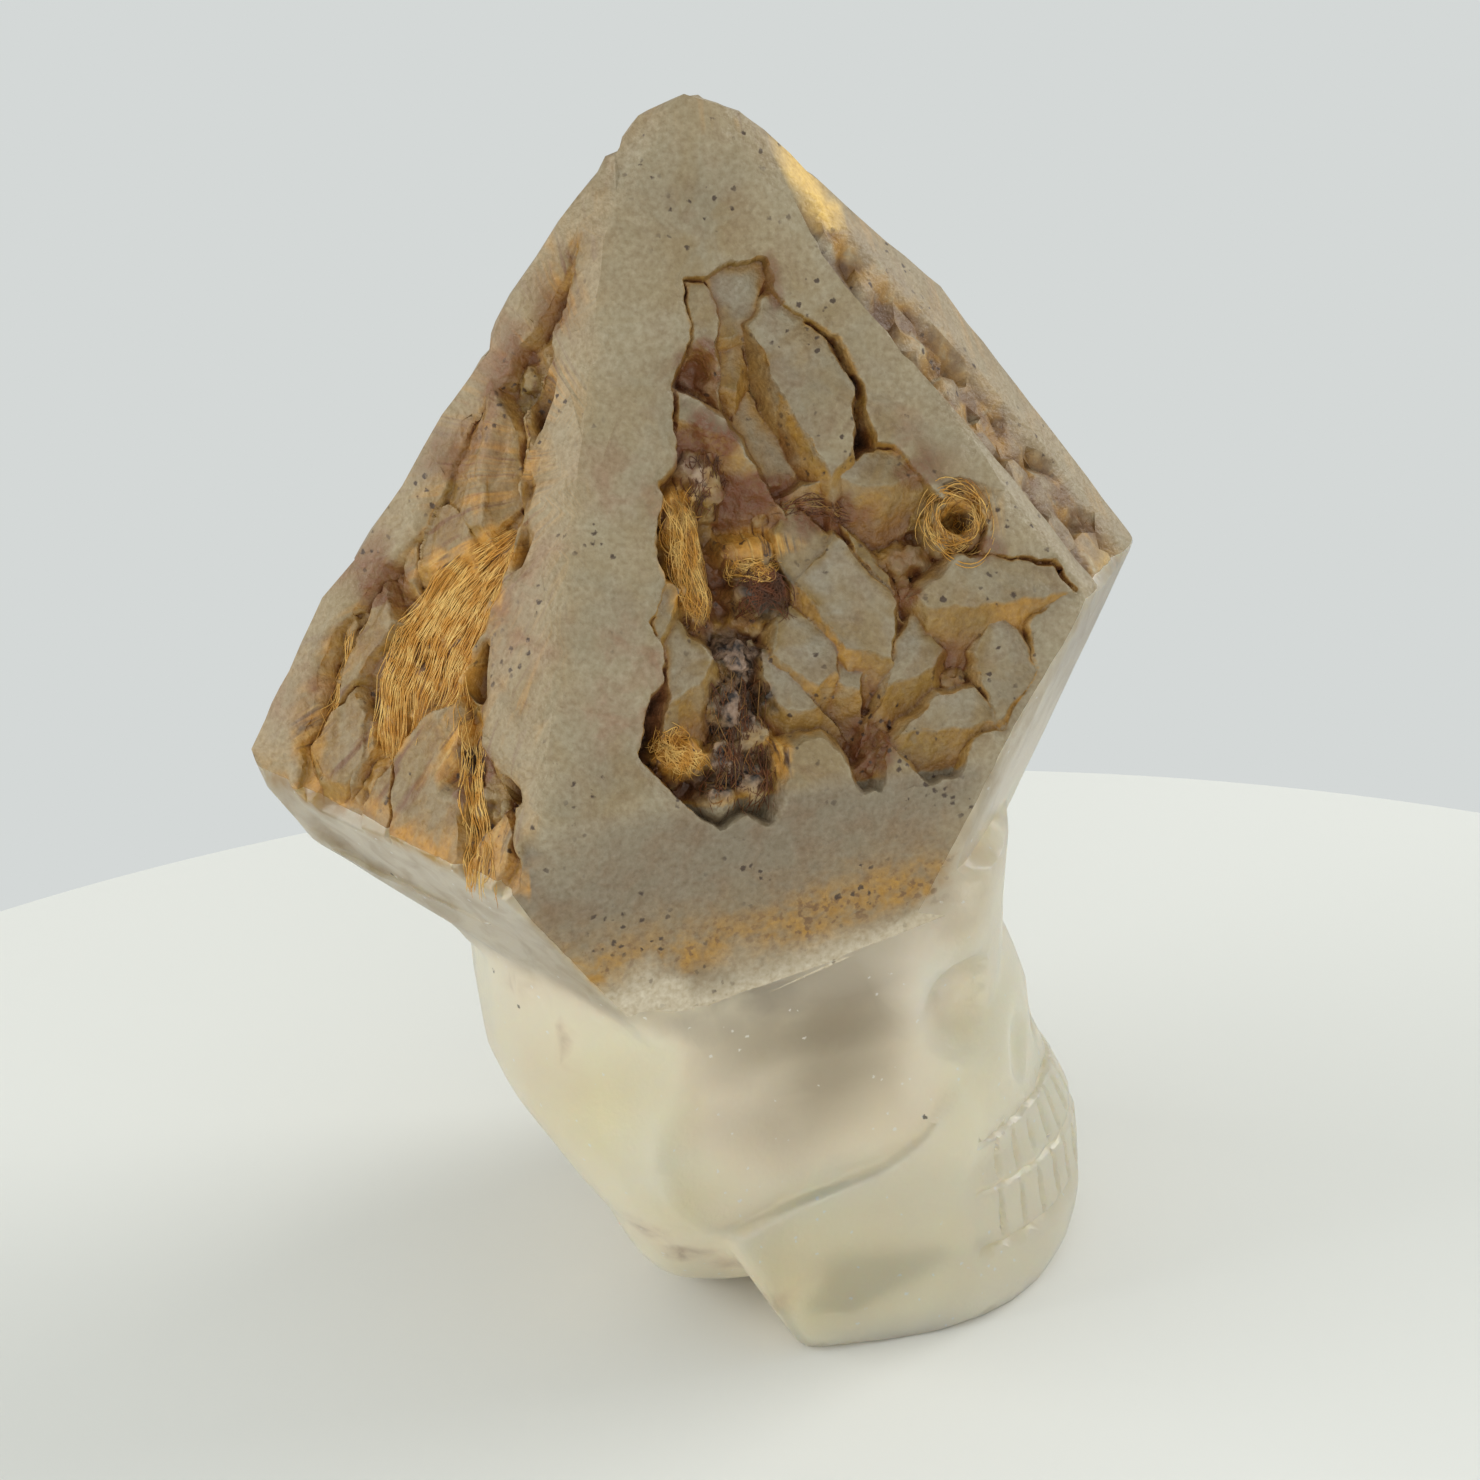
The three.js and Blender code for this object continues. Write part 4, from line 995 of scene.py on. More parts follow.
def polish(stone):
    """Smooths the polished skull, and says from 0 to 1 where small triangles are to be kept."""
    mesh = stone.data
    pairs = edge_pairs(mesh)
    points = positions(mesh)
    _, slope, prism, cut = zones(points)
    tip = smoothed(tip_share(points, slope, prism, cut), pairs, 3)
    sharp = np.maximum(tip, 0.6 * ledge_share(points))
    points = smoothed(points, pairs, POLISH_ROUNDS, 0.5 * (1.0 - sharp))
    points = smoothed(points, pairs, POLISH_ROUNDS, 0.5 * tip)
    set_positions(mesh, points)
    rim = 1.0 - smoothstep(0.5, 1.5, np.abs(slope - np.maximum(prism, cut)))
    edge = np.abs(points[:, 2] - np.interp(points[:, 0], *zip(*STAIN_FOOT))) < 1.2
    carved = 0.55 * (1.0 - tip) * (points[:, 2] < 50.0)
    keep = np.maximum.reduce([carved, 0.2 + 0.5 * rim, 0.8 * edge * (prism > -1.0), ledge_share(points)])
    for face in HOLLOWS:
        keep = np.maximum(keep, on_hollow(points, face, 0.5)[0])
    sunk = smoothstep(0.3, 1.0, -slope) * tip
    return np.maximum(keep, 0.6 * sunk)


def thin(stone, keep):
    """Fewer triangles where the surface is plain."""
    group = stone.vertex_groups.new(name="keep")
    steps = np.round(keep * KEEP_STEPS).astype(int)
    for step in range(1, KEEP_STEPS + 1):
        group.add(np.flatnonzero(steps == step).tolist(), step / KEEP_STEPS, "REPLACE")
    triangles = len(stone.data.polygons) * 2
    apply(
        stone, "DECIMATE", ratio=TRIANGLE_LIMIT / triangles, use_collapse_triangulate=True,
        vertex_group="keep", vertex_group_factor=4.0, invert_vertex_group=True,
    )
    stone.vertex_groups.clear()


def refine(stone):
    """Smaller triangles round the teeth, where the wheel cuts."""
    mesh = stone.data
    for _ in range(2):
        inside = near_grooves(positions(mesh))
        shell = bmesh.new()
        shell.from_mesh(mesh)
        shell.verts.ensure_lookup_table()
        edges = [
            e for e in shell.edges
            if inside[e.verts[0].index] and inside[e.verts[1].index] and e.calc_length() > GROOVE_EDGE * MM
        ]
        bmesh.ops.subdivide_edges(shell, edges=edges, cuts=1, use_grid_fill=True)
        write_back(shell, mesh)


def kept_in_box(points):
    low_corner = np.array(cad_box[0]) / MM + BOX_MARGIN
    high_corner = np.array(cad_box[1]) / MM - BOX_MARGIN
    low_corner[2] = 0.0
    return np.clip(points, low_corner, high_corner)


def weather(stone):
    """Wears, chips and roughens the crystal's faces."""
    mesh = stone.data
    pairs = edge_pairs(mesh)
    points = positions(mesh)
    slopes, slope, prism, cut = zones(points)
    tip = tip_share(points, slope, prism, cut)
    hollow = np.zeros(len(points))
    for face in HOLLOWS:
        u, v, h = on_slope(points, face)
        hollow = np.maximum(hollow, (relief(u, v, face)[1] == FLOOR) & (h < -1.0) & (h > -7.0))
    rough = np.maximum.reduce([
        spot_mask(points, slopes, "crust"), 0.4 * spot_mask(points, slopes, "rust"),
        0.7 * smoothed(hollow, pairs, 1),
    ])
    u, v, _ = on_slope(points, "left")
    plain_left = (slopes["left"] > -0.6) * tip
    grooves = noise_at(np.column_stack([u / 2.6, v / 8.0, np.zeros(len(u))]), "grooves")
    move = (0.06 + 0.12 * tip) * noise_at(points, "broad") + 0.07 * noise_at(points, "fine") * tip
    move += 0.4 * plain_left * grooves + 0.16 * tip * noise_at(points, "worn")
    move += rough * (0.75 * noise_at(points, "lumpy") - 0.1) * tip
    sunk = smoothstep(0.3, 1.4, -slope) * tip
    for number, face in enumerate(SLOPES):
        if face not in HOLLOWS:
            share = sunk * (slopes[face] > slope - 0.05)
            move += 0.9 * share * bud_height(points, face, 10.0 * number + 3.0)
    set_positions(mesh, kept_in_box(points + vertex_normals(mesh) * move[:, None]))


def engrave(stone):
    """The carving wheel's grooves between the teeth."""
    mesh = stone.data
    points = positions(mesh)
    set_positions(mesh, kept_in_box(points - vertex_normals(mesh) * mouth_depth(points)[:, None]))


def store(mesh, name, values):
    layer = mesh.attributes.new(name, "FLOAT", "POINT")
    layer.data.foreach_set("value", np.asarray(values, np.float32))


def shelter(mesh, points, normals, wanted):
    """How much of the view from each wanted point is blocked close by, from 0 to 1."""
    tree = BVHTree.FromPolygons(
        [tuple(p) for p in points], [tuple(f.vertices) for f in mesh.polygons], all_triangles=True
    )
    turn = math.pi * (3.0 - math.sqrt(5.0))
    rays = []
    for k in range(SHELTER_RAYS):
        rise = math.sqrt((k + 0.5) / SHELTER_RAYS)
        spread = math.sqrt(1.0 - rise * rise)
        rays.append(Vector((spread * math.cos(k * turn), spread * math.sin(k * turn), rise)))
    blocked = np.zeros(len(points))
    for index in np.flatnonzero(wanted):
        normal = Vector(normals[index])
        start = Vector(points[index]) + normal * 0.15
        basis = normal.to_track_quat("Z", "Y")
        total = 0.0
        for ray in rays:
            distance = tree.ray_cast(start, basis @ ray, SHELTER_REACH)[3]
            if distance is not None:
                total += 1.0 - 0.5 * distance / SHELTER_REACH
        blocked[index] = total / SHELTER_RAYS
    return blocked


def mark_form(mesh, points, slope, tip):
    """Creases, ridges, sheltered places and places sunk below the sloping faces."""
    pairs = edge_pairs(mesh)
    normals = vertex_normals(mesh)
    # Curvature: the finish darkens the creases with painted shade and makes the ridges paler.
    near_curve = ((smoothed(points, pairs, 5) - points) * normals).sum(1)
    curve = smoothed(np.clip(near_curve * 6.0, -1, 1), pairs, 1)
    store(mesh, "crease", np.clip(curve, 0, 1))
    store(mesh, "ridge", np.clip(-curve, 0, 1))
    # How much of the view is blocked close by: the finish stains such places and also darkens them with
    # painted shade.
    blocked = shelter(mesh, points, normals, (tip > 0.01) | (points[:, 2] < 52.0) & (points[:, 0] > 15.0))
    store(mesh, "shelter", smoothed(blocked, pairs, 2))
    store(mesh, "sunk", smoothstep(0.15, 1.6, -slope) * tip)


def mark_crystals(mesh, points, tip):
    """The crystals in the hollows: their facets, rims and sides, and the seams between them."""
    top, below, seam = np.ones(len(points)), np.zeros(len(points)), np.zeros(len(points))
    for face in HOLLOWS:
        u, v, h = on_slope(points, face)
        height, pieces, fall, gap = relief(u, v, face)
        here = inside_distance(u, v, HOLLOWS[face]["outline"]) > 0
        here &= (np.abs(h - height) < 1.2) & (tip > 0.0)
        top = np.where(here, (pieces >= CRYSTAL_LABELS) & (pieces % CRYSTAL_LABELS == 0), top)
        below = np.where(here, fall, below)
        seam = np.where(here, (1.0 - smoothstep(0.0, 0.4, gap)) * smoothstep(0.4, 2.2, -h), seam)
    store(mesh, "top", top)
    store(mesh, "brim", smoothstep(-2.2, 0.0, below) * top * (below < 0))
    store(mesh, "below", smoothstep(0.0, 0.25, below))
    # Far down the crystals' sides: the rust laid there is partly stain and partly painted shade.
    store(mesh, "deep", smoothstep(0.8, 3.0, below))
    store(mesh, "seam", seam)


def mark_right_face(mesh, points, slopes, tip):
    """The rubble-filled channel up the right face, and its two amber patches."""
    u, v, _ = on_slope(points, "right")
    on_right = smoothstep(-0.5, 0.5, slopes["right"] - slopes["front"]) * tip
    channel = smoothstep(4.0, 5.5, u) * (1.0 - smoothstep(12.5, 14.5, u))
    channel *= 1.0 - smoothstep(42.0, 47.0, v)
    store(mesh, "rubble", on_right * np.clip(channel + 0.5 * noise_at(points, "rubble"), 0, 1))
    upper = reach_from(u, v, *UPPER_AMBER) + 0.6 * noise_at(points, "amber")
    lower = reach_from(u, v, *LOWER_AMBER)
    store(mesh, "amber", on_right * np.maximum(1.0 - smoothstep(0.6, 1.1, upper), 0.5 - 0.5 * lower))


def mark_upright_face(mesh, points, prism, cut, tip):
    """The upright face, its orange band, and the pale fade on both sides of the border under the band."""
    z = points[:, 2]
    on_prism = smoothstep(-0.6, 0.0, prism - cut) * smoothstep(36.0, 41.0, z) * (1.0 - tip)
    store(mesh, "band", band_mask(points) * on_prism)
    store(mesh, "prism", on_prism)
    below_band = z - np.interp(points[:, 0], *zip(*BAND_LOW)) + 1.2 * noise_at(points, "verge")
    near_front = smoothstep(-5.0, -0.5, prism) * (1.0 - tip)
    store(mesh, "verge", smoothstep(-9.0, -3.5, below_band) * near_front)
    store(mesh, "fade", (1.0 - smoothstep(-2.0, 0.8, below_band)) * near_front)
    sawn = (1.0 - smoothstep(0.5, 1.5, np.abs(cut))) * smoothstep(38.0, 43.0, z)
    store(mesh, "cut", sawn * smoothstep(-0.6, 0.0, cut - prism) * (1.0 - tip))


def mark_strands(mesh, points, slopes):
    """Across and along the fibres, in mm: fanned out on the left face, and upright on the others."""
    left_u, left_v, _ = on_slope(points, "left")
    away_u, away_v = left_u - FIBRE_FAN[0], left_v - FIBRE_FAN[1]
    across = np.arctan2(away_u, -away_v) * FAN_RADIUS
    front_u, front_v, _ = on_slope(points, "front")
    on_left = slopes["left"] > slopes["front"]
    strand = np.column_stack([
        np.where(on_left, across, front_u),
        np.where(on_left, np.hypot(away_u, away_v), front_v),
        np.zeros(len(points)),
    ])
    layer = mesh.attributes.new("strand", "FLOAT_VECTOR", "POINT")
    layer.data.foreach_set("vector", strand.astype(np.float32).ravel())


def mark(stone):
    """Stores what the materials need to know about each place on the surface."""
    mesh = stone.data
    points = positions(mesh)
    slopes, slope, prism, cut = zones(points)
    tip = tip_share(points, slope, prism, cut)
    mark_form(mesh, points, slope, tip)
    mark_crystals(mesh, points, tip)
    side = smoothstep(-0.6, 0.6, slopes["left"] - slopes["front"])
    store(mesh, "tan", tip * np.maximum(side, smoothstep(0.0, 3.0, points[:, 1] - 4.0)))
    hem = 1.0 - smoothstep(0.2, 2.6, np.abs(slope - cut) + 0.8 * noise_at(points, "hem"))
    store(mesh, "hem", hem * (points[:, 2] > 40.0) * (slopes["left"] > slope - 1.5) * (prism < -0.3))
    mark_right_face(mesh, points, slopes, tip)
    mark_upright_face(mesh, points, prism, cut, tip)
    mark_strands(mesh, points, slopes)
    for kind in SPOTS["front"]:
        store(mesh, kind, spot_mask(points, slopes, kind) * tip)
    for kind in CLOUDS:
        store(mesh, kind, cloud_mask(points, kind) * (1.0 - tip))


def along_path(path, shares):
    corners = np.array(path, float)
    knots = np.linspace(0.0, 1.0, len(corners))
    return np.column_stack([np.interp(shares, knots, corners[:, k]) for k in (0, 1)])


def tube(points, radius):
    """A thin four-sided tube along a line: its corners and faces."""
    ahead = np.gradient(points, axis=0)
    ahead /= np.maximum(np.linalg.norm(ahead, axis=1), 1e-6)[:, None]
    side = np.cross(ahead, (0.3, -0.8, 0.5))
    side /= np.maximum(np.linalg.norm(side, axis=1), 1e-6)[:, None]
    rise = np.cross(side, ahead)
    width = radius * np.sin(np.linspace(0.15, math.pi - 0.15, len(points)))[:, None] ** 0.5
    corners = np.stack([points + width * d for d in (side, rise, -side, -rise)], axis=1).reshape(-1, 3)
    faces = [
        (4 * k + j, 4 * k + (j + 1) % 4, 4 * k + 4 + (j + 1) % 4, 4 * k + 4 + j)
        for k in range(len(points) - 1) for j in range(4)
    ]
    last = 4 * (len(points) - 1)
    return corners, faces + [(3, 2, 1, 0), (last, last + 1, last + 2, last + 3)]


def bundle_fibres(random):
    """The points, radius and shade of each fibre in the bundles that lies low enough in its hollow."""
    steps = np.linspace(0, 1, FIBRE_STEPS)
    for face, one, other, count, lift, wander, shade in BUNDLES:
        for _ in range(count):
            start = random.uniform(0.0, 0.75)
            shares = np.linspace(start, min(start + random.uniform(0.2, 0.6), 1.0), FIBRE_STEPS)
            across = random.uniform(0.0, 1.0) + random.uniform(-0.12, 0.12) * steps
            place = along_path(one, shares) * (1 - across)[:, None]
            place += along_path(other, shares) * across[:, None]
            turns = np.linspace(0.0, random.uniform(2.0, 7.0), FIBRE_STEPS)
            for k in (0, 1):
                place[:, k] += wander * random.uniform(0.3, 1.0) * np.sin(turns + random.uniform(0, 6.3))
            u, v = place.T
            under = smoothed_line(np.minimum(relief(u, v, face)[0], 0.0), 3)
            points = off_slope(face, u, v, under + lift * random.uniform(0.1, 1.0))
            if under.max() < SHALLOWEST_FIBRE:
                tint = np.clip(shade + random.uniform(-0.2, 0.2), 0, 1)
                yield points, random.uniform(*FIBRE_RADIUS), tint


def nest_fibres(random):
    """The points, radius and shade of each fibre that goes round the nest."""
    steps = np.linspace(0, 1, FIBRE_STEPS)
    count, inner, outer = NEST_FIBRES
    for _ in range(count):
        angle = random.uniform(0, 6.3) + np.linspace(0, random.uniform(0.6, 2.6), FIBRE_STEPS)
        reach = random.uniform(inner, outer) + random.uniform(-1.3, 1.3) * steps
        reach = reach + 0.3 * np.sin(3.0 * angle + random.uniform(0, 6.3))
        u = NEST_MIDDLE[0] + reach * np.cos(angle)
        v = NEST_MIDDLE[1] + 1.2 * reach * np.sin(angle)
        height = smoothed_line(np.minimum(relief(u, v, "front")[0], -0.2), 3) + random.uniform(0.0, 0.3)
        yield off_slope("front", u, v, height), random.uniform(*FIBRE_RADIUS), random.uniform(0.0, 0.6)


def iron_fibres():
    """The golden and brown fibres that fill the hollows, as one mesh."""
    random = np.random.default_rng(5)
    corners, faces, shades = [], [], []
    for points, radius, shade in chain(bundle_fibres(random), nest_fibres(random)):
        own_corners, own_faces = tube(points, radius)
        base = len(shades)
        corners.append(own_corners)
        faces += [tuple(base + k for k in face) for face in own_faces]
        shades += [shade] * len(own_corners)
    mesh = bpy.data.meshes.new("iron_fibres")
    mesh.from_pydata((kept_in_box(np.vstack(corners)) * MM).tolist(), [], faces)
    store(mesh, "shade", shades)
    mesh.materials.append(fibre_finish())
    mesh.polygons.foreach_set("use_smooth", np.ones(len(mesh.polygons), bool))
    mesh.update()
    return new_object("iron_fibres", mesh)


def feed(tree, value, socket):
    """Links another node's output to a socket, or sets the socket's own value."""
    if isinstance(value, bpy.types.NodeSocket):
        tree.links.new(value, socket)
    else:
        socket.default_value = value


def set_inputs(tree, node, **values):
    for key, value in values.items():
        feed(tree, value, node.inputs[key.replace("_", " ")])


def add(tree, kind, **values):
    """A new node, with its own settings and what goes into its inputs."""
    node = tree.nodes.new(kind)
    for key, value in values.items():
        if hasattr(node, key):
            setattr(node, key, value)
        else:
            set_inputs(tree, node, **{key: value})
    return node


def new_material(name):
    material = bpy.data.materials.new(name)
    material.use_nodes = True
    tree = material.node_tree
    return material, tree, tree.nodes["Principled BSDF"]


def object_place(tree):
    return add(tree, "ShaderNodeTexCoord").outputs["Object"]


def attribute(tree, name):
    return add(tree, "ShaderNodeAttribute", attribute_name=name).outputs["Fac"]


def mottle(tree, place, kind):
    """Soft noise, stretched so that its low value gives 0 and its high value 1."""
    scale, detail, low, high, distortion = MOTTLES[kind]
    texture = add(tree, "ShaderNodeTexNoise", Vector=place, Scale=scale, Detail=detail, Distortion=distortion)
    span = add(tree, "ShaderNodeMapRange", Value=texture.outputs["Fac"], From_Min=low, From_Max=high)
    return span.outputs["Result"]


def mix_colour(tree, base, over, amount, blend="MIX"):
    node = add(tree, "ShaderNodeMix", data_type="RGBA", blend_type=blend)
    for value, socket in ((amount, node.inputs[0]), (base, node.inputs[6]), (over, node.inputs[7])):
        feed(tree, value, socket)
    return node.outputs[2]


def maths(tree, operation, a, b):
    """A sum kept from 0 to 1."""
    node = add(tree, "ShaderNodeMath", operation=operation, use_clamp=True)
    feed(tree, a, node.inputs[0])
    feed(tree, b, node.inputs[1])
    return node.outputs[0]


def product(tree, *values):
    result = values[0]
    for value in values[1:]:
        result = maths(tree, "MULTIPLY", result, value)
    return result


def between(tree, value, low, high):
    """0 below low and 1 above high."""
    node = add(
        tree, "ShaderNodeMapRange", Value=value, From_Min=low, From_Max=high, interpolation_type="SMOOTHSTEP",
    )
    return node.outputs["Result"]


def painted(tree, colour, layers):
    """Lays colours over a base in turn, each by the product of its amounts."""
    for over, *amounts in layers:
        colour = mix_colour(tree, colour, over, product(tree, *amounts))
    return colour


def group_tree(name, inputs, outputs):
    """A shared effect: its sockets are (name, kind)."""
    group = bpy.data.node_groups.new(name, "ShaderNodeTree")
    for direction, sockets in (("INPUT", inputs), ("OUTPUT", outputs)):
        for socket, kind in sockets:
            group.interface.new_socket(socket, in_out=direction, socket_type=kind)
    return group, group.nodes.new("NodeGroupInput"), group.nodes.new("NodeGroupOutput")


def ragged(tree, place, scale, amount):
    """The place, pushed about by noise, so that what is drawn there has an uneven edge."""
    wander = add(tree, "ShaderNodeTexNoise", Vector=place, Scale=scale, Detail=3.0)
    centred = add(tree, "ShaderNodeVectorMath", operation="SUBTRACT")
    feed(tree, wander.outputs["Color"], centred.inputs[0])
    feed(tree, (0.5, 0.5, 0.5), centred.inputs[1])
    pushed = add(tree, "ShaderNodeVectorMath", operation="MULTIPLY_ADD")
    for value, socket in zip((centred.outputs[0], (amount, amount, amount), place), pushed.inputs):
        feed(tree, value, socket)
    return pushed.outputs[0]


def specks(tree, place, kind):
    """Small grains: a share of the cells of a scatter."""
    scale, size, share = SPECKS[kind]
    place = ragged(tree, place, SPECK_WANDER_SCALE, SPECK_WANDER)
    cells = add(tree, "ShaderNodeTexVoronoi", Vector=place, Scale=scale, Randomness=1.0)
    split = add(tree, "ShaderNodeSeparateColor", Color=cells.outputs["Color"])
    chosen = maths(tree, "LESS_THAN", split.outputs["Red"], share)
    inside = add(
        tree, "ShaderNodeMapRange", Value=cells.outputs["Distance"], From_Min=size, From_Max=size * 0.6,
    )
    return maths(tree, "MULTIPLY", chosen, inside.outputs["Result"])


def strands(tree, kind):
    """Fine lines that run with the fibres."""
    across, along = STRAND_SCALES[kind]
    source = add(tree, "ShaderNodeAttribute", attribute_name="strand")
    mapping = add(tree, "ShaderNodeMapping", Vector=source.outputs["Vector"], Scale=(across, along, 1.0))
    return mottle(tree, mapping.outputs["Vector"], kind)


def grain_group():
    """Mottling that both finishes share: a broad cloud, patches, fine grain and dark specks."""
    effects = ("Cloud", "Patch", "Grain", "Specks")
    group, given, result = group_tree(
        "quartz_grain", [("Place", "NodeSocketVector")], [(effect, "NodeSocketFloat") for effect in effects],
    )
    place = given.outputs["Place"]
    fine = product(group, specks(group, place, "fine"), mottle(group, place, "crowd"))
    set_inputs(
        group, result, Cloud=mottle(group, place, "cloud"), Patch=mottle(group, place, "patch"),
        Grain=mottle(group, place, "grain"),
        Specks=maths(group, "MAXIMUM", fine, specks(group, place, "large")),
    )
    return group


def band_group():
    """Orange iron stain, grainy, laid over a colour."""
    colour = "NodeSocketColor"
    group, given, result = group_tree(
        "iron_band", [("Place", "NodeSocketVector"), ("Colour", colour), ("Amount", "NodeSocketFloat")],
        [("Colour", colour)],
    )
    place, amount = given.outputs["Place"], given.outputs["Amount"]
    shade = painted(group, given.outputs["Colour"], [
        (ORANGE, amount, mottle(group, place, "band_grains")),
        (STONE_BROWN, mottle(group, place, "band_brown"), amount, 0.8),
    ])
    set_inputs(group, result, Colour=shade)
    return group


def grained(tree, group, place):
    """The shared mottling's four outputs."""
    node = add(tree, "ShaderNodeGroup", node_tree=group)
    set_inputs(tree, node, Place=place)
    return list(node.outputs)


def banded(tree, group, place, colour):
    """The colour with the orange band laid over it."""
    node = add(tree, "ShaderNodeGroup", node_tree=group)
    set_inputs(tree, node, Place=place, Colour=colour, Amount=attribute(tree, "band"))
    return node.outputs["Colour"]


def bumped(tree, height, strength, distance):
    node = add(tree, "ShaderNodeBump", Strength=strength, Distance=distance, Height=height)
    return node.outputs["Normal"]


def stained_quartz(grain, band):
    """Rough opaque stone: grey and yellowish, and stained where it is sunk, steep or sheltered, with painted
    shade in its sheltered places, creases and the crystals' deep sides, and paler worn ridges that also act
    as a painted highlight.
    """
    material, tree, shader = new_material("stained_quartz")
    place = object_place(tree)
    cloud, patch, fine, speckled = grained(tree, grain, place)
    read = {name: attribute(tree, name) for name in STONE_MARKS}
    yellow = mottle(tree, place, "yellow")

    def plus(value, amount):
        return maths(tree, "ADD", value, amount)

    def sheltered(low, high):
        return between(tree, read["shelter"], low, high)

    rubble = painted(tree, OCHRE, [
        (STONE_PALE, mottle(tree, place, "rubble_pale")), (STONE_BROWN, mottle(tree, place, "rubble_brown")),
    ])
    golden = painted(tree, GOLD, [(STRAW, strands(tree, "straw")), (UMBER, strands(tree, "umber"))])
    crusty = mix_colour(tree, CRUST_GREY, DARK, mottle(tree, place, "crust_dark"))
    colour = painted(tree, STONE_GREY, [
        (STONE_PALE, cloud, 0.8),
        (FACET_GREY, read["top"], read["sunk"], 0.7),
        (STONE_YELLOW, yellow, 0.55),
        (TAN, read["tan"], plus(patch, 0.5)),
        (PRISM_GREY, read["prism"], 0.9),
        (GOLD, read["tan"], yellow, strands(tree, "streaks"), 0.8),
        (RUST, read["tan"], strands(tree, "rusty"), 0.7),
        (STONE_BROWN, patch, 0.5),
        (OLIVE, read["brim"], read["sunk"], plus(yellow, 0.35)),
        (GOLD, read["hem"], plus(patch, 0.35), 0.8),
        (rubble, read["rubble"]),
        # Ochre in sheltered places is iron stain.
        (OCHRE, sheltered(0.1, 0.4), 0.7),
        (mix_colour(tree, OCHRE, OLIVE, cloud), read["below"], plus(patch, 0.65)),
        # Rust deep down the crystals' sides: partly stain, partly painted shade.
        (RUST, read["deep"], 0.6),
        # Rust in sheltered places: iron stain, and painted shade as well.
        (RUST, sheltered(0.36, 0.7), 0.85),
        (RUST, read["seam"], plus(patch, 0.2), 0.7),
        # Painted shade: umber darkening in the creases of the sunk parts.
        (UMBER, read["crease"], read["sunk"], 0.6),
        # Near-black painted shade where the stone is most sheltered.
        (DARK, sheltered(0.6, 0.85), 0.8),
        # Paler ridges: worn edges, which also stand in as a painted highlight.
        (STONE_PALE, read["ridge"], 0.6),
    ])
    colour = painted(tree, banded(tree, band, place, colour), [
        (VEIL, read["fade"]),
        (PINK, read["pink"], plus(patch, 0.3), 0.9),
        (golden, read["gold"]),
        (RUST, read["rust"], plus(fine, 0.35), 0.9),
        (crusty, read["crust"]),
        # Painted shade over the holes.
        (DARK, read["dark"], 0.9),
        (MILK, read["pale"], patch, 0.6),
        (AMBER, read["amber"]),
    ])
    grains = mix_colour(tree, GRAIN_SHADE, WHITE, product(tree, fine, plus(patch, 0.75)))
    colour = mix_colour(tree, colour, grains, 0.75, "MULTIPLY")
    colour = painted(tree, colour, [(SPECK, speckled, 0.9)])
    height = plus(product(tree, fine, 0.5), product(tree, patch, 0.5))
    set_inputs(
        tree, shader, Base_Color=colour, Roughness=0.5, IOR=QUARTZ_IOR,
        Normal=bumped(tree, height, 0.55, 0.0004),
    )
    return material


def milky_quartz(grain, band):
    """Polished stone that light gets into, with clouds inside, a brown skin in places and small white flecks
    of painted glint.
    """
    material, tree, shader = new_material("milky_quartz")
    place = object_place(tree)
    cloud, patch, fine, _ = grained(tree, grain, place)
    read = {name: attribute(tree, name) for name in (*CLOUDS, "verge", "cut", "hem")}
    some_patch = maths(tree, "ADD", patch, 0.3)
    colour = painted(tree, MILK, [
        (WARM, read["warm"]),
        (STONE_PALE, cloud, 0.12),
        (SMOKE, read["smoke"], 0.95),
        (VIOLET, read["violet"], 0.95),
        (PEARL, read["pearl"], 0.9),
        (VEIL, read["verge"], maths(tree, "ADD", cloud, 0.3)),
        (VEIL, read["cut"], 0.9),
        (TAN, read["cut"], patch, 0.6),
        (ORANGE, read["hem"], some_patch),
        (STONE_BROWN, read["skin"], some_patch),
    ])
    colour = painted(tree, banded(tree, band, place, colour), [
        # White flecks: painted glints in the polished stone.
        (WHITE, specks(tree, place, "glint_flecks"), 0.7),
        (DARK, specks(tree, place, "black"), 0.9),
    ])
    set_inputs(
        tree, shader, Base_Color=colour, Roughness=0.32, IOR=QUARTZ_IOR, Transmission_Weight=0.55,
        Subsurface_Weight=1.0, Subsurface_Radius=(1.0, 0.85, 0.6), Subsurface_Scale=0.008,
        Normal=bumped(tree, fine, 0.15, 0.0002),
    )
    return material


def fibre_finish():
    """Golden fibres that turn brown with their shade."""
    material, tree, shader = new_material("iron_fibre")
    place = object_place(tree)
    golden = mix_colour(tree, GOLD, STRAW, mottle(tree, place, "fibre_gold"))
    brown = mix_colour(tree, UMBER, RUST, mottle(tree, place, "fibre_brown"))
    colour = mix_colour(tree, golden, brown, between(tree, attribute(tree, "shade"), 0.1, 0.75))
    set_inputs(tree, shader, Base_Color=colour, Roughness=0.45)
    return material


def assign(stone):
    """Gives the stone its two finishes, with the border where is_stained changes."""
    mesh = stone.data
    grain, band = grain_group(), band_group()
    mesh.materials.append(stained_quartz(grain, band))
    mesh.materials.append(milky_quartz(grain, band))
    stained = is_stained(read_flat(mesh.polygons, "center", 3).astype(float) / MM)
    mesh.polygons.foreach_set("material_index", 1 - stained.astype(np.int32))
    mesh.polygons.foreach_set("use_smooth", np.ones(len(mesh.polygons), bool))
    mesh.set_sharp_from_angle(angle=SHARP_ANGLE)
    mesh.update()


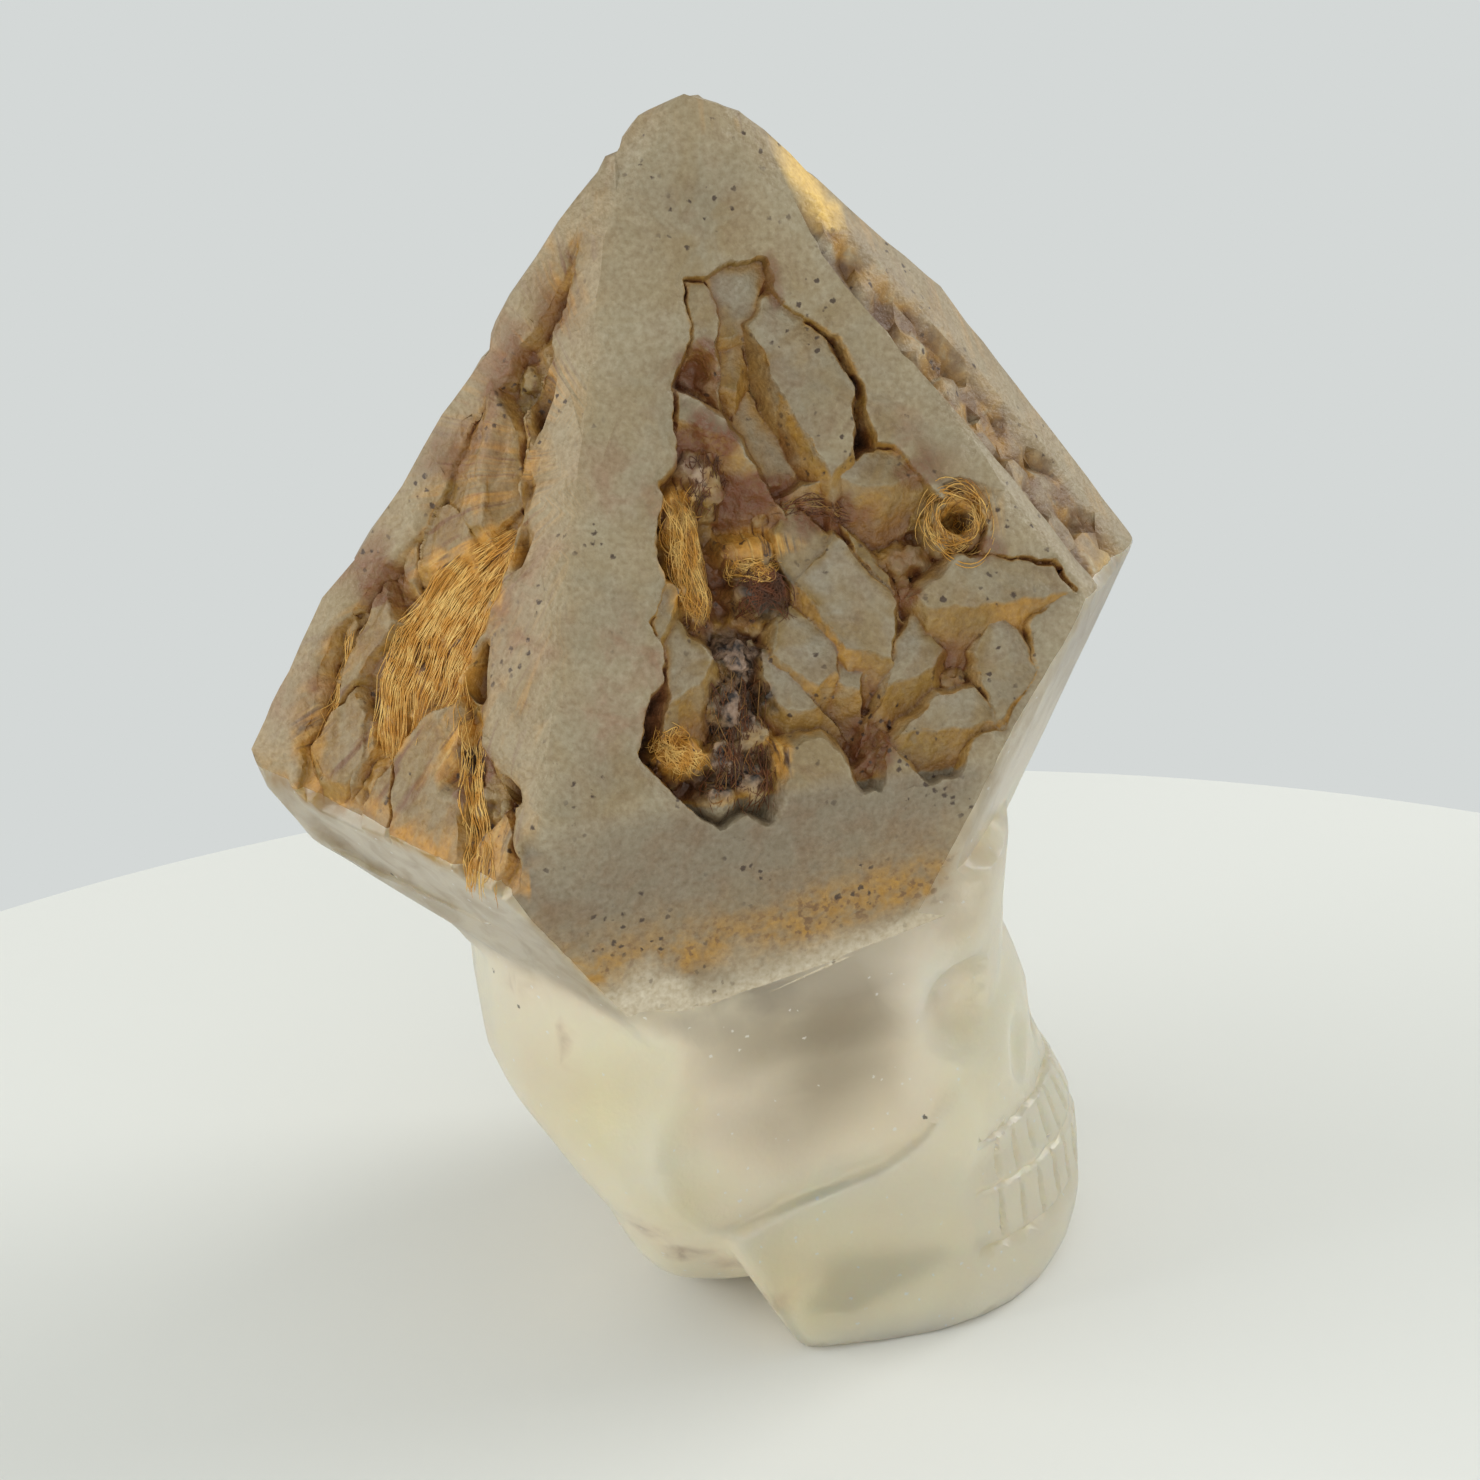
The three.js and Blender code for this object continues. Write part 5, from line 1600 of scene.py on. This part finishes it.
def carved_stone():
    """The whole stone, from the solid model's shape to its finishes."""
    stone = blank_stone()
    thin(stone, polish(stone))
    refine(stone)
    for face in HOLLOWS:
        for _ in range(2):
            split_where(stone, crystal_labels(face))
        sink_hollow(stone, face)
    weather(stone)
    engrave(stone)
    split_where(stone, is_stained)
    mark(stone)
    assign(stone)
    return stone


def look_at(thing, aim):
    direction = Vector(aim) - thing.location
    thing.rotation_mode = "QUATERNION"
    thing.rotation_quaternion = direction.to_track_quat("-Z", "Y")


def make_camera():
    data = bpy.data.cameras.new("camera")
    data.lens = CAMERA_LENS
    data.clip_start = 0.01
    camera = new_object("camera", data)
    camera.location = CAMERA_PLACE * MM
    look_at(camera, CAMERA_AIM * MM)
    bpy.context.scene.camera = camera


def make_light(name, place, aim, size, power, colour):
    data = bpy.data.lights.new(name, "AREA")
    data.shape = "DISK"
    data.size = size
    data.energy = power
    data.color = colour
    light = new_object(name, data)
    light.location = place
    look_at(light, aim)


def make_world():
    """A pale backdrop that lights the scene a little less than it shows."""
    world = bpy.data.worlds.new("studio")
    world.use_nodes = True
    bpy.context.scene.world = world
    tree = world.node_tree
    camera_ray = add(tree, "ShaderNodeLightPath").outputs["Is Camera Ray"]
    span = add(tree, "ShaderNodeMapRange", Value=camera_ray, To_Min=AMBIENT, To_Max=1.0)
    set_inputs(tree, tree.nodes["Background"], Color=BACKDROP, Strength=span.outputs["Result"])


def make_table():
    """The round white table under the stone."""
    middle_x, middle_y = TABLE_MIDDLE
    shell = bmesh.new()
    bmesh.ops.create_cone(
        shell, cap_ends=True, cap_tris=False, segments=256, radius1=TABLE_RADIUS, radius2=TABLE_RADIUS,
        depth=TABLE_DEPTH, matrix=Matrix.Translation((middle_x, middle_y, -TABLE_DEPTH / 2)),
    )
    mesh = bpy.data.meshes.new("round_table")
    shell.to_mesh(mesh)
    shell.free()
    material, tree, shader = new_material("table_white")
    set_inputs(tree, shader, Base_Color=TABLE_WHITE, Roughness=0.6)
    mesh.materials.append(material)
    return new_object("round_table", mesh)


def make_studio():
    bpy.context.scene.view_settings.view_transform = "Standard"
    make_world()
    for name, settings in LIGHTS.items():
        make_light(name, *settings)
    make_table()


make_camera()
for piece in (carved_stone(), iron_fibres()):
    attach(piece, "root")
    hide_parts(NODE)
make_studio()
